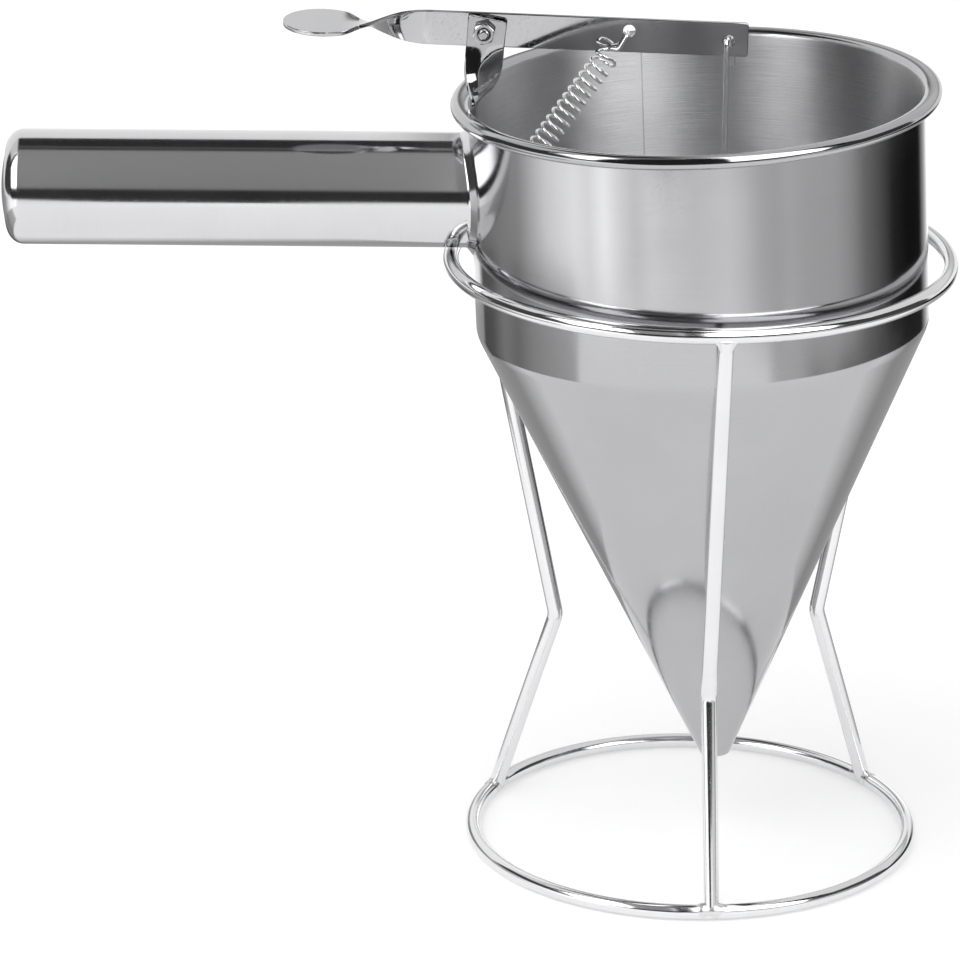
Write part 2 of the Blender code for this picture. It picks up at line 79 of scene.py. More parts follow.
# Studio: a white sweep under one wide soft lamp. Bare steel shows what stands around it, so
# cards that only metal sees stand about the work: an arch over it with a wall at each end, a
# low fence around it, a black panel in front of the cup, and two papers on the floor.
def node(tree, kind, inputs=None, **settings):
    """Add a shader node, with its settings, and its inputs as plain values or as sockets."""
    made = tree.nodes.new(kind)
    for key, value in settings.items():
        setattr(made, key, value)
    for key, value in (inputs or {}).items():
        if isinstance(value, bpy.types.NodeSocket):
            tree.links.new(value, made.inputs[key])
        else:
            made.inputs[key].default_value = value
    return made


def number(tree, operation, *values):
    """Add a Math node and return the number it puts out."""
    return node(tree, "ShaderNodeMath", dict(enumerate(values)), operation=operation).outputs[0]


def tones(tree, share, stops):
    """Return a grey read from a list of (share, tone) stops."""
    ramp = node(tree, "ShaderNodeValToRGB", {"Fac": share})
    while len(ramp.color_ramp.elements) < len(stops):
        ramp.color_ramp.elements.new(1)
    for element, (place, tone) in zip(ramp.color_ramp.elements, stops):
        element.position = place
        element.color = (tone, tone, tone, 1)
    return ramp.outputs["Color"]


def shown_to_eye_and_metal(tree):
    """Return 1 for rays from the camera and from metal, and 0 for the light that falls."""
    path = node(tree, "ShaderNodeLightPath")
    seen = number(tree, "MAXIMUM", path.outputs["Is Camera Ray"], path.outputs["Is Glossy Ray"])
    return number(tree, "MAXIMUM", seen, path.outputs["Is Transmission Ray"])


world = bpy.data.worlds.new("white studio")
scene.world = world
world.use_nodes = True
tree = world.node_tree
air_light = 0.72
air = node(tree, "ShaderNodeMix", {0: shown_to_eye_and_metal(tree), 2: air_light, 3: 1.0})
tree.links.new(air.outputs[0], tree.nodes["Background"].inputs["Color"])

floor_size = 10.0
floor_own_light = 0.34
floor_mesh = bpy.data.meshes.new("floor")
floor_mesh.from_pydata([(x * floor_size / 2, y * floor_size / 2, 0)
                        for x, y in ((-1, -1), (1, -1), (1, 1), (-1, 1))], [], [(0, 1, 2, 3)])
floor = bpy.data.objects.new("floor", floor_mesh)
scene.collection.objects.link(floor)
paper = bpy.data.materials.new("white sweep")
paper.use_nodes = True
tree = paper.node_tree
shader = tree.nodes["Principled BSDF"]
shader.inputs["Base Color"].default_value = (0.82, 0.82, 0.82, 1)
shader.inputs["Roughness"].default_value = 0.9
shader.inputs["Emission Color"].default_value = (1, 1, 1, 1)
own_light = number(tree, "MULTIPLY", shown_to_eye_and_metal(tree), floor_own_light)
tree.links.new(own_light, shader.inputs["Emission Strength"])
floor_mesh.materials.append(paper)

lamp_data = bpy.data.lights.new("wide lamp", "AREA")
lamp_data.shape = "RECTANGLE"
lamp_data.size = 1.6
lamp_data.size_y = 1.2
lamp_data.energy = 9
lamp = bpy.data.objects.new("wide lamp", lamp_data)
scene.collection.objects.link(lamp)
lamp.matrix_world = Matrix.Translation((-0.5, -0.5, 1.7)) @ (
    Vector((0.56, 0.5, -1.6)).to_track_quat("-Z", "Y").to_matrix().to_4x4())
lamp.visible_glossy = False


def card(name, grid, build):
    """A card of the studio, over a grid of points. Only metal sees it, and build(tree) gives
    its light and how much of it lets what is behind show through."""
    rows, columns = grid.shape[:2]
    row, column = np.arange(rows - 1)[:, None], np.arange(columns - 1)[None, :]
    first = row * columns + column
    quads = np.stack([first, first + 1, first + columns + 1, first + columns], axis=-1)
    mesh = bpy.data.meshes.new(name)
    mesh.from_pydata(grid.reshape(-1, 3).tolist(), [], quads.reshape(-1, 4).tolist())
    material = bpy.data.materials.new(name)
    material.use_nodes = True
    tree = material.node_tree
    tree.nodes.remove(tree.nodes["Principled BSDF"])
    light, clear = build(tree)
    glow = node(tree, "ShaderNodeEmission", {"Color": light})
    gap = node(tree, "ShaderNodeBsdfTransparent")
    blend = node(tree, "ShaderNodeMixShader", {0: clear, 1: glow.outputs[0], 2: gap.outputs[0]})
    tree.links.new(blend.outputs[0], tree.nodes["Material Output"].inputs["Surface"])
    mesh.materials.append(material)
    obj = bpy.data.objects.new(name, mesh)
    scene.collection.objects.link(obj)
    for ray in ("camera", "diffuse", "transmission", "shadow", "volume_scatter"):
        setattr(obj, "visible_" + ray, False)
    return obj


def in_steps(tree, value, start, end):
    """Return 0 at the start and before it, 1 at the end and past it, and grow evenly between."""
    return node(tree, "ShaderNodeMapRange", {"Value": value, "From Min": start,
                                             "From Max": end}).outputs[0]


def in_degrees(tree, angle, start, end):
    """Return the same for an angle, with its start and end given in degrees."""
    return in_steps(tree, angle, math.radians(start), math.radians(end))


def mixed(tree, share, first, second):
    """Return a colour that goes from the first to the second as the share grows to 1."""
    return node(tree, "ShaderNodeMix", {0: share, 6: first, 7: second},
                data_type="RGBA").outputs[2]


def spot_and_turn(tree):
    """Return the X, Y and Z of a spot on a card, and its angle about the stand, which is 0
    towards the camera and grows to the right."""
    spot = node(tree, "ShaderNodeSeparateXYZ",
                {0: node(tree, "ShaderNodeTexCoord").outputs["Object"]}).outputs
    turn = number(tree, "ARCTAN2", number(tree, "SUBTRACT", spot["X"], stand_x),
                  number(tree, "MULTIPLY", spot["Y"], -1.0))
    return spot, turn


# Arch: its tones by the angle about the X axis, and where its cards start and end along X or
# about the stand
arch_r = 0.8
arch_z = 0.19
arch_start, arch_end = -13.6, 168.0
arch_half_length = 1.3
arch_tones_left = [(-13.6, 0.03), (10, 0.03), (15, 0.27), (92, 0.31), (96, 0.04), (99, 0.04),
                   (100.8, 0.13), (102.6, 0.13), (104, 0.03), (129, 0.03), (168, 0.03)]
arch_tones_right = [(-13.6, 0.02), (10, 0.02), (15, 3.2), (84, 3.2), (90, 0.8), (160, 0.8),
                    (168, 0.3)]
over_cup_x, left_white_x, left_dim_x = (-0.05, 0.06), (-0.32, -0.37), (-1.2, -0.95)
left_dim_light = 0.07
black_x, black_turn = (-0.025, -0.005), (5, 2)
black_left_x, black_left_turn = (-0.33, -0.37), (-72, -76)
black_right_turn = (62, 66)
black_top, black_tone = (88, 86), (0.02, 0.02, 0.02, 1)
skirting_x, skirting_top, skirting_tone = (-0.12, -0.08), (-9.5, -10.5), (0.95, 0.95, 0.95, 1)
open_x, open_foot = (-0.02, -0.08), (128.9, 129.1)


def arch_light(tree):
    """Light of the arch. It follows the angle about the X axis and changes from left to right:
    a white card, the grey one over the handle, a black one, and a white one over the cup. A
    white skirting runs below the handle, and behind it the arch is open to the white room."""
    spot, turn = spot_and_turn(tree)
    angle = number(tree, "ARCTAN2", number(tree, "SUBTRACT", spot["Z"], arch_z),
                   number(tree, "MULTIPLY", spot["Y"], -1.0))
    share = in_degrees(tree, angle, arch_start, arch_end)
    left, right = ([((degrees - arch_start) / (arch_end - arch_start), tone)
                    for degrees, tone in stops] for stops in (arch_tones_left, arch_tones_right))
    white = number(tree, "MAXIMUM", in_steps(tree, spot["X"], *over_cup_x),
                   in_steps(tree, spot["X"], *left_white_x))
    light = mixed(tree, white, tones(tree, share, left), tones(tree, share, right))
    black = number(tree, "MULTIPLY", in_steps(tree, spot["X"], *black_x),
                   in_degrees(tree, turn, *black_turn))
    black_left = number(tree, "MULTIPLY", in_steps(tree, spot["X"], *black_left_x),
                        in_degrees(tree, turn, *black_left_turn))
    black = number(tree, "MAXIMUM", number(tree, "MAXIMUM", black, black_left),
                   in_degrees(tree, turn, *black_right_turn))
    black = number(tree, "MULTIPLY", black, in_degrees(tree, angle, *black_top))
    light = mixed(tree, black, light, black_tone)
    level = number(tree, "MULTIPLY_ADD", in_steps(tree, spot["X"], *left_dim_x),
                   1 - left_dim_light, left_dim_light)
    light = node(tree, "ShaderNodeVectorMath", {0: light, 3: level}, operation="SCALE").outputs[0]
    skirting = number(tree, "MULTIPLY", in_steps(tree, spot["X"], *skirting_x),
                      in_degrees(tree, angle, *skirting_top))
    light = mixed(tree, skirting, light, skirting_tone)
    clear = number(tree, "MULTIPLY", in_degrees(tree, angle, *open_foot),
                   in_steps(tree, spot["X"], *open_x))
    return light, clear


angle = np.radians(np.linspace(arch_start, arch_end, 61))[:, None]
length = np.linspace(-arch_half_length, arch_half_length, 9)[None, :]
arch = card("arch", np.stack(np.broadcast_arrays(
    length, -arch_r * np.cos(angle), arch_z + arch_r * np.sin(angle)), axis=-1), arch_light)


def plain_light(tone):
    """Return the light of a plain card, for card() to call."""
    return lambda tree: ((tone, tone, tone, 1), 0.0)


wall_depth = np.linspace(-arch_r, arch_r * 0.75, 3)[:, None]
wall_height = np.array([0.03, 1.0])[None, :]
walls = [card("end_wall", np.stack(np.broadcast_arrays(x, wall_depth, wall_height), axis=-1),
              plain_light(0.06)) for x in (-arch_half_length, arch_half_length)]

# Fence: its tones by the angle about the stand, and where its top is lower at the front left
fence_r, fence_lift = 0.5, 0.001
fence_low, fence_high = 0.078, 0.125
fence_gap = (-30, -25, -5, 0)
fence_tones = [(-180, 1.3), (-163, 0.5), (-137, 0.24), (-119, 0.34), (-96, 0.48), (-86, 0.84),
               (-77, 1.2), (-60, 1.55), (-52, 1.4), (-44, 1.8), (-36, 1.35), (-29, 1.1),
               (-21, 1.32), (-7, 1.12), (0, 1.05), (14, 1.15), (22, 1.0), (29, 0.78), (37, 0.7),
               (44, 0.77), (52, 0.69), (69, 0.64), (78, 0.5), (87, 0.26), (97, 0.15),
               (108, 0.03), (121, 0.01), (140, 0.01), (150, 0.55), (161, 1.4), (180, 1.4)]
fence_foot_left, fence_foot_right = 0.017, 0.034
fence_foot_tones = [(-180, 1.2), (-146, 1.2), (-139, 0.1), (-125, 0.14), (-112, 0.34),
                    (-100, 0.26), (-89, 0.42), (-71, 0.55), (-63, 0.62), (-57, 1.2), (31, 1.2),
                    (36, 0.75), (48, 0.66), (56, 0.38), (65, 0.45), (73, 0.24), (94, 0.14),
                    (119, 0.03), (141, 0.02), (150, 0.6), (160, 1.2), (180, 1.2)]
fence_foot_turn, fence_foot_blur = (-50, 0), 0.003


def all_round(tree, turn, stops):
    """Return a grey read from a list of (degrees about the stand, tone) stops."""
    return tones(tree, in_steps(tree, turn, -math.pi, math.pi),
                 [((degrees + 180) / 360, tone) for degrees, tone in stops])


def fence_light(tree):
    """Light of the fence, which follows the angle about the stand. It has its own tones near
    the floor, which the foot of the band shows, and they reach higher on the right."""
    spot, turn = spot_and_turn(tree)
    foot = number(tree, "MULTIPLY_ADD", in_degrees(tree, turn, *fence_foot_turn),
                  fence_foot_right - fence_foot_left, fence_foot_left)
    low = in_steps(tree, number(tree, "SUBTRACT", spot["Z"], foot),
                   fence_foot_blur, -fence_foot_blur)
    over, under = all_round(tree, turn, fence_tones), all_round(tree, turn, fence_foot_tones)
    return mixed(tree, low, over, under), 0.0


def about_stand(degrees, reach, height):
    """Points of a card that bends about the stand: reach times the sine of the turn to the
    right, and reach times its cosine towards the camera."""
    turn = np.radians(degrees)[:, None]
    return np.stack(np.broadcast_arrays(
        stand_x + reach * np.sin(turn), -reach * np.cos(turn), height), axis=-1)


degrees = np.linspace(-180, 180, 361)
fence_top = np.interp(degrees, fence_gap, (fence_high, fence_low, fence_low, fence_high))
fence_height = np.stack([np.full(len(degrees), fence_lift), fence_top], axis=-1)
fence = card("fence", about_stand(degrees, fence_r, fence_height), fence_light)

# Black panel upright in front of the cup, which the brushed inside of its back shows
panel_x, panel_y, panel_z = (-0.008, 0.078), -0.1, (0.222, 0.6)
panel = card("panel", np.stack(np.broadcast_arrays(
    np.array(panel_x)[:, None], panel_y, np.array(panel_z)[None, :]), axis=-1),
    plain_light(0.02))

# Papers on the floor inside the fence: a grey one behind the stand, which fades out towards
# its ends, and one on the handle's side with the tones of the fence's foot
paper_end_r = fence_r - 0.002
rear_tone, rear_fade = (0.42, 0.42, 0.42, 1), (125, 100)


def rear_light(tree):
    """Light of the paper behind the stand."""
    turn = spot_and_turn(tree)[1]
    return rear_tone, in_degrees(tree, number(tree, "ABSOLUTE", turn), *rear_fade)


def side_light(tree):
    """Light of the paper on the handle's side."""
    return all_round(tree, spot_and_turn(tree)[1], fence_foot_tones), 0.0


rear_paper = card("rear_paper", about_stand(
    np.linspace(98, 262, 60), np.linspace(0.11, paper_end_r, 5), 0.0008), rear_light)
side_paper = card("side_paper", about_stand(
    np.linspace(-139, -60, 40), np.linspace(0.3, paper_end_r, 3), 0.0012), side_light)


# Wire stand: two rings and three bent legs of bright drawn wire, 4.3 mm thick. The legs are
# welded to the rings, with a tongue of weld under the top ring and a bead at each foot.
wire_r = 0.00217
cad_wire_r = 0.00225
touch_gap = 0.0003
top_ring_r = 0.06925
top_ring_z = 0.1724
base_ring_r = 0.0624
base_ring_z = cad_wire_r * math.cos(math.radians(15))
kink_r, kink_z, kink_bend_r = 0.0435, 0.059, 0.006
leg_turns = (-83.85, 36.15, 156.15)
leg_top_out, leg_tip_in, leg_into_weld = 0.001, 0.0004, 0.8
tongue_length, foot_bead_half = 0.0068, 0.0042


def skin(name, grid, looped=False, inner_rows=None):
    """Cover a grid of points, rows by columns, with faces that point outwards. Columns close
    on themselves, and so do rows if looped. Otherwise one face closes each end. The UV map
    is in metres: the mean distance gone along the rows, and the mean distance gone around.
    Faces in the range inner_rows take the second material."""
    rows, columns = grid.shape[:2]
    row = np.arange(rows if looped else rows - 1)[:, None]
    column = np.arange(columns)[None, :]
    after, beside = (row + 1) % rows, (column + 1) % columns
    quads = np.stack(np.broadcast_arrays(
        row * columns + column, after * columns + column,
        after * columns + beside, row * columns + beside), axis=-1).reshape(-1, 4)
    step_along = np.linalg.norm(np.roll(grid, -1, axis=0) - grid, axis=2).mean(axis=1)
    step_around = np.linalg.norm(np.roll(grid, -1, axis=1) - grid, axis=2).mean(axis=0)
    along = np.concatenate([[0], np.cumsum(step_along)])
    around = np.concatenate([[0], np.cumsum(step_around)])
    u = np.broadcast_to(along[row[:, :, None] + np.array([0, 1, 1, 0])],
                        (len(row), columns, 4))
    v = np.broadcast_to(around[column[:, :, None] + np.array([0, 0, 1, 1])],
                        (len(row), columns, 4))
    places = [np.stack([u, v], axis=-1).reshape(-1, 2)]
    faces = quads.tolist()
    if not looped:
        for rim, order in ((grid[0], range(columns)),
                           (grid[-1], range(rows * columns - 1, (rows - 1) * columns - 1, -1))):
            faces.append(list(order))
            spoke = rim - rim.mean(axis=0)
            first = spoke[0] / max(np.linalg.norm(spoke[0]), 1e-9)
            second = spoke[columns // 4] - first * (spoke[columns // 4] @ first)
            second /= max(np.linalg.norm(second), 1e-9)
            flat = np.stack([spoke @ first, spoke @ second], axis=-1)
            places.append(flat if rim is grid[0] else flat[::-1])
    mesh = bpy.data.meshes.new(name)
    mesh.from_pydata(grid.reshape(-1, 3).tolist(), [], faces)
    mesh.uv_layers.new(name="UVMap").data.foreach_set("uv", np.concatenate(places).ravel())
    if inner_rows:
        index = np.zeros(len(faces), dtype=int)
        index[inner_rows[0] * columns:inner_rows[1] * columns] = 1
        mesh.polygons.foreach_set("material_index", index)
    corner = grid.reshape(-1, 3)[quads]
    middle = corner.mean(axis=1)
    area = np.cross(corner[:, 2] - corner[:, 0], corner[:, 3] - corner[:, 1]) / 2
    swell = np.einsum("ij,ij->", middle - middle.mean(axis=0), area)
    if swell < 0:
        mesh.flip_normals()
    return mesh


def fit_piece(name, grid, body, slot, nodes, *materials, crease=35, looped=False,
              inner_rows=None):
    """Add a finished piece over a grid of points: its materials, the body it moves with and
    the nodes it replaces. A piece that bends between two bodies gets none here."""
    mesh = skin(name, grid, looped, inner_rows)
    mesh.shade_smooth()
    mesh.set_sharp_from_angle(angle=math.radians(crease))
    for material in materials:
        mesh.materials.append(material)
    obj = bpy.data.objects.new(name, mesh)
    scene.collection.objects.link(obj)
    if body:
        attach(obj, body)
    if nodes:
        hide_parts(*nodes)
    return obj


def rounded_path(corners, bend_r, steps=14):
    """Round each inner corner of a path with an arc: centre + bend_r times a direction that
    turns evenly from the end of one straight to the start of the next."""
    corners = [Vector(corner) for corner in corners]
    path = [corners[0]]
    for before, corner, after in zip(corners, corners[1:], corners[2:]):
        come = (corner - before).normalized()
        leave = (after - corner).normalized()
        half_turn = come.angle(leave) / 2
        reach = bend_r * math.tan(half_turn)
        centre = corner + (leave - come).normalized() * bend_r / math.cos(half_turn)
        first = (corner - come * reach - centre).normalized()
        last = (corner + leave * reach - centre).normalized()
        path += [centre + first.slerp(last, i / steps) * bend_r for i in range(steps + 1)]
    path.append(corners[-1])
    return np.array(path)


def full_turn(steps):
    """Angles that go once around in even steps."""
    return np.linspace(0, 2 * np.pi, steps, endpoint=False)


def carried_circle(path, radius, columns=24, seed=(0.3, 0.2, 0.9)):
    """Carry a circle along a path: path + radius (cos a side + sin a over). The side
    direction is carried from point to point by taking out its part along the new direction.
    Radius is one number or one for each point."""
    ahead = np.gradient(path, axis=0)
    ahead /= np.linalg.norm(ahead, axis=1)[:, None]
    side = np.empty_like(path)
    carried = np.array(seed, dtype=float)
    for i, direction in enumerate(ahead):
        carried = carried - direction * (carried @ direction)
        carried = carried / np.linalg.norm(carried)
        side[i] = carried
    over = np.cross(ahead, side)
    angle = full_turn(columns)[None, :, None]
    radius = np.broadcast_to(radius, len(path))[:, None, None]
    return path[:, None] + radius * (np.cos(angle) * side[:, None]
                                     + np.sin(angle) * over[:, None])


def blunted(path, radius, edge=0.00025):
    """Add a point just inside each end of a path, so that its ends are drawn in a little."""
    path = np.asarray(path)
    start = path[0] + (path[1] - path[0]) / np.linalg.norm(path[1] - path[0]) * edge
    end = path[-1] + (path[-2] - path[-1]) / np.linalg.norm(path[-2] - path[-1]) * edge
    sizes = np.full(len(path) + 2, radius)
    sizes[[0, -1]] = radius - edge
    return np.concatenate([path[:1], [start], path[1:-1], [end], path[-1:]]), sizes


def steel_group(name, inputs, outputs):
    """Start a node group with named number and vector sockets. Return its tree and ends."""
    group = bpy.data.node_groups.new(name, "ShaderNodeTree")
    for label, kind, value in inputs:
        made = group.interface.new_socket(label, in_out="INPUT", socket_type=kind)
        if value is not None:
            made.default_value = value
    for label in outputs:
        group.interface.new_socket(label, in_out="OUTPUT", socket_type="NodeSocketFloat")
    return group, node(group, "NodeGroupInput"), node(group, "NodeGroupOutput")


# Lines left by drawing, rolling or polishing: noise drawn out along one direction of the UV map
grain, grain_in, grain_out = steel_group("grain lines", [
    ("Length", "NodeSocketFloat", 0.03), ("Width", "NodeSocketFloat", 0.0002),
    ("Along V", "NodeSocketFloat", 0.0)], ["Lines"])
spot = node(grain, "ShaderNodeSeparateXYZ", {0: node(grain, "ShaderNodeUVMap").outputs[0]})
along = node(grain, "ShaderNodeMix", {
    0: grain_in.outputs["Along V"], 2: spot.outputs["X"], 3: spot.outputs["Y"]}).outputs[0]
beside = node(grain, "ShaderNodeMix", {
    0: grain_in.outputs["Along V"], 2: spot.outputs["Y"], 3: spot.outputs["X"]}).outputs[0]
drawn = node(grain, "ShaderNodeCombineXYZ", {
    0: number(grain, "DIVIDE", along, grain_in.outputs["Length"]),
    1: number(grain, "DIVIDE", beside, grain_in.outputs["Width"])})
lines = node(grain, "ShaderNodeTexNoise", {
    "Vector": drawn.outputs[0], "Scale": 1.0, "Detail": 3.0, "Roughness": 0.6},
    noise_dimensions="2D")
grain.links.new(lines.outputs["Fac"], grain_out.inputs["Lines"])

# Handling: soft smears and fine short scratches that lie in every direction
handling, handling_in, handling_out = steel_group("handling marks", [
    ("Smear Size", "NodeSocketFloat", 0.02), ("Scratch Size", "NodeSocketFloat", 0.006)],
    ["Smears", "Scratches"])
place = node(handling, "ShaderNodeTexCoord").outputs["Object"]
smears = node(handling, "ShaderNodeTexNoise", {
    "Vector": place, "Scale": number(handling, "DIVIDE", 1.0, handling_in.outputs["Smear Size"]),
    "Detail": 4.0, "Roughness": 0.55})
soft = node(handling, "ShaderNodeMapRange", {
    "Value": smears.outputs["Fac"], "From Min": 0.38, "From Max": 0.68})
handling.links.new(soft.outputs[0], handling_out.inputs["Smears"])
scratched = None
for turn in ((0.3, 0.9, 0.2), (1.1, 0.2, 0.7), (0.6, 1.7, 1.2)):
    turned = node(handling, "ShaderNodeMapping", {"Vector": place, "Rotation": turn})
    stretched = node(handling, "ShaderNodeVectorMath", {
        0: turned.outputs[0], 1: (1.0, 40.0, 40.0)}, operation="MULTIPLY")
    streaks = node(handling, "ShaderNodeTexNoise", {
        "Vector": stretched.outputs[0], "Detail": 1.0,
        "Scale": number(handling, "DIVIDE", 1.0, handling_in.outputs["Scratch Size"])})
    thin = node(handling, "ShaderNodeMapRange", {
        "Value": streaks.outputs["Fac"], "From Min": 0.70, "From Max": 0.76}).outputs[0]
    scratched = thin if scratched is None else number(handling, "MAXIMUM", scratched, thin)
handling.links.new(scratched, handling_out.inputs["Scratches"])


def steel(name, color, roughness, length, width, along_v=0.0, line_depth=2e-6, line_gloss=0.05,
          smear_gloss=0.05, scratch_depth=2e-6, tint=0.06, anisotropy=0.0, wave_depth=0.0,
          wave_size=0.03, joint=None):
    """A steel finish. Roughness is the least, and lines, smears and scratches add to it. The
    lines and scratches also stand up or down by their depths. A joint is a thin weld line at
    a place along U or V, given as (axis, place, half width)."""
    material = bpy.data.materials.new(name)
    material.use_nodes = True
    tree = material.node_tree
    shader = tree.nodes["Principled BSDF"]
    shader.inputs["Metallic"].default_value = 1
    lines = node(tree, "ShaderNodeGroup", node_tree=grain)
    lines.inputs["Length"].default_value = length
    lines.inputs["Width"].default_value = width
    lines.inputs["Along V"].default_value = along_v
    marks = node(tree, "ShaderNodeGroup", node_tree=handling)
    shade = number(tree, "MULTIPLY_ADD", lines.outputs[0], tint, 1 - tint / 2)
    shade = number(tree, "SUBTRACT", shade, number(tree, "MULTIPLY", marks.outputs["Smears"],
                                                   tint / 2))
    gloss = number(tree, "MULTIPLY_ADD", lines.outputs[0], line_gloss, roughness)
    gloss = number(tree, "MULTIPLY_ADD", marks.outputs["Smears"], smear_gloss, gloss)
    gloss = number(tree, "MULTIPLY_ADD", marks.outputs["Scratches"], 0.06, gloss)
    height = number(tree, "MULTIPLY", lines.outputs[0], line_depth)
    height = number(tree, "SUBTRACT", height,
                    number(tree, "MULTIPLY", marks.outputs["Scratches"], scratch_depth))
    if wave_depth:
        waves = node(tree, "ShaderNodeTexNoise", {
            "Vector": node(tree, "ShaderNodeTexCoord").outputs["Object"],
            "Scale": 1 / wave_size, "Detail": 1.0})
        height = number(tree, "MULTIPLY_ADD", waves.outputs["Fac"], wave_depth, height)
    if joint:
        axis, place, half_width = joint
        spot = node(tree, "ShaderNodeSeparateXYZ", {0: node(tree, "ShaderNodeUVMap").outputs[0]})
        off = number(tree, "ABSOLUTE", number(tree, "SUBTRACT", spot.outputs[axis], place))
        seam = node(tree, "ShaderNodeMapRange", {
            "Value": off, "From Min": half_width, "From Max": half_width * 0.3,
            "To Min": 0.0, "To Max": 1.0}).outputs[0]
        height = number(tree, "MULTIPLY_ADD", seam, -2e-5, height)
        shade = number(tree, "MULTIPLY_ADD", seam, -0.35, shade)
        gloss = number(tree, "MULTIPLY_ADD", seam, 0.12, gloss)
    colored = node(tree, "ShaderNodeVectorMath", {0: color, 3: shade}, operation="SCALE")
    tree.links.new(colored.outputs[0], shader.inputs["Base Color"])
    tree.links.new(gloss, shader.inputs["Roughness"])
    bump = node(tree, "ShaderNodeBump", {"Strength": 1.0, "Distance": 1.0, "Height": height})
    tree.links.new(bump.outputs[0], shader.inputs["Normal"])
    if anisotropy:
        shader.inputs["Anisotropic"].default_value = anisotropy
        tangent = node(tree, "ShaderNodeTangent", direction_type="UV_MAP", uv_map="UVMap")
        tree.links.new(tangent.outputs[0], shader.inputs["Tangent"])
    return material


bright_wire = steel("bright drawn wire", (0.80, 0.80, 0.81), 0.05, 0.02, 0.00012,
                    line_depth=6e-7, tint=0.08)
weld_bead = steel("pickled weld", (0.74, 0.74, 0.74), 0.16, 0.0015, 0.0006, line_depth=2e-5,
                  line_gloss=0.1, tint=0.12)
base_joint_turn = 0.62
base_ring_wire = steel("bright drawn wire, butted", (0.80, 0.80, 0.81), 0.05, 0.02, 0.00012,
                       line_depth=6e-7, tint=0.08,
                       joint=("X", base_joint_turn * base_ring_r, 0.00035))


def wire_ring(ring_r, ring_z, steps=256, columns=24):
    """A ring of wire: (ring_r + wire_r cos a) about the stand's axis, ring_z + wire_r sin a."""
    turn = full_turn(steps)[:, None]
    angle = full_turn(columns)[None, :] + np.pi
    reach = ring_r + wire_r * np.cos(angle)
    return np.stack(np.broadcast_arrays(
        stand_x + reach * np.cos(turn), reach * np.sin(turn),
        ring_z + wire_r * np.sin(angle)), axis=-1)


fit_piece("top_ring_wire", wire_ring(top_ring_r, top_ring_z), "stand", "wire", ["top_ring"],
          bright_wire, looped=True)
fit_piece("base_ring_wire", wire_ring(base_ring_r, base_ring_z), "stand", "wire",
          ["base_ring"], base_ring_wire, looped=True)

for i, turn in enumerate(np.radians(leg_turns)):
    out = Vector((math.cos(turn), math.sin(turn), 0))
    beside = Vector((-out.y, out.x, 0))
    axis = Vector((stand_x, 0, 0))
    top_weld = axis + out * top_ring_r + Vector((0, 0, top_ring_z))
    foot_weld = axis + out * base_ring_r + Vector((0, 0, base_ring_z))
    kink = axis + out * kink_r + Vector((0, 0, kink_z))
    rising = (top_weld - kink).normalized()
    outward = (out - rising * out.dot(rising)).normalized()
    leg_top = top_weld - rising * (cad_wire_r + touch_gap) + outward * leg_top_out
    falling = (foot_weld - kink).normalized()
    leg_foot = foot_weld - falling * (cad_wire_r + touch_gap)
    path = rounded_path([leg_top + rising * wire_r * leg_into_weld - outward * leg_tip_in, kink,
                         leg_foot + falling * wire_r * leg_into_weld], kink_bend_r)
    fit_piece(f"leg_{i + 1}_wire", carried_circle(path, wire_r, seed=-out), "stand", "wire",
              [f"leg_{i + 1}"], bright_wire)

    # Tongue of weld on the outside of the leg, widening up into the ring
    share = np.linspace(0.02, 1, 22)[:, None]
    angle = full_turn(28)[None, :]
    body = np.sqrt(share * (2 - share))
    half_width = wire_r * (0.86 * body + 0.75 * share ** 5)
    half_depth = wire_r * (0.45 * body - 0.3 * share ** 4)
    low = (leg_top - rising * (tongue_length - wire_r * leg_into_weld)
           + outward * wire_r * 0.35)
    spine = np.array(low)[None, :] + share * np.array(rising)[None, :] * tongue_length
    grid = (spine[:, None, :] + (half_width * np.cos(angle))[..., None] * np.array(beside)
            + (half_depth * np.sin(angle))[..., None] * np.array(outward))
    fit_piece(f"top_weld_{i + 1}", grid, "stand", "wire", None, weld_bead, crease=60)

    # Lumpy bead of weld around the base ring at the leg's foot
    along = np.linspace(-1, 1, 25)
    swing = turn + along * foot_bead_half / base_ring_r
    lump = np.cos(along * np.pi / 2) ** 0.7
    lump = np.where(np.abs(along) < 1, lump, 0)
    radius = wire_r * (0.93 + 0.15 * lump + 0.05 * np.sin(along * 7 + i))
    spine = np.stack([stand_x + base_ring_r * np.cos(swing), base_ring_r * np.sin(swing),
                      base_ring_z + 0.00042 * lump], axis=-1)
    fit_piece(f"foot_weld_{i + 1}", carried_circle(spine, radius, seed=(0, 0, 1)), "stand",
              "wire", None, weld_bead, crease=60)


# Cup: a band rolled from 0.8 mm sheet, its edge curled outwards into a bead, with a cone
# welded under it. It is polished outside and brushed inside, and it leans in the stand.
cup_lean = math.radians(2.6)
cup_r = 0.063
sheet_t = 0.0008
bead_r = 0.0019
bead_centre_r = 0.0656
bead_end_angle = -152
band_depth = 0.065
shoulder_r = 0.008
cone_depth = 0.1295
nozzle_r = 0.0043
nozzle_z = -(band_depth + cone_depth)
cone_angle = math.atan((cup_r - nozzle_r) / cone_depth)
band_low, band_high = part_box("cup_band")
rim_x = (band_low.x + band_high.x) / 2
rim_z = band_high.z - bead_r - bead_centre_r * math.sin(cup_lean)
seam_turn = math.radians(105.1)
cup_columns = 240


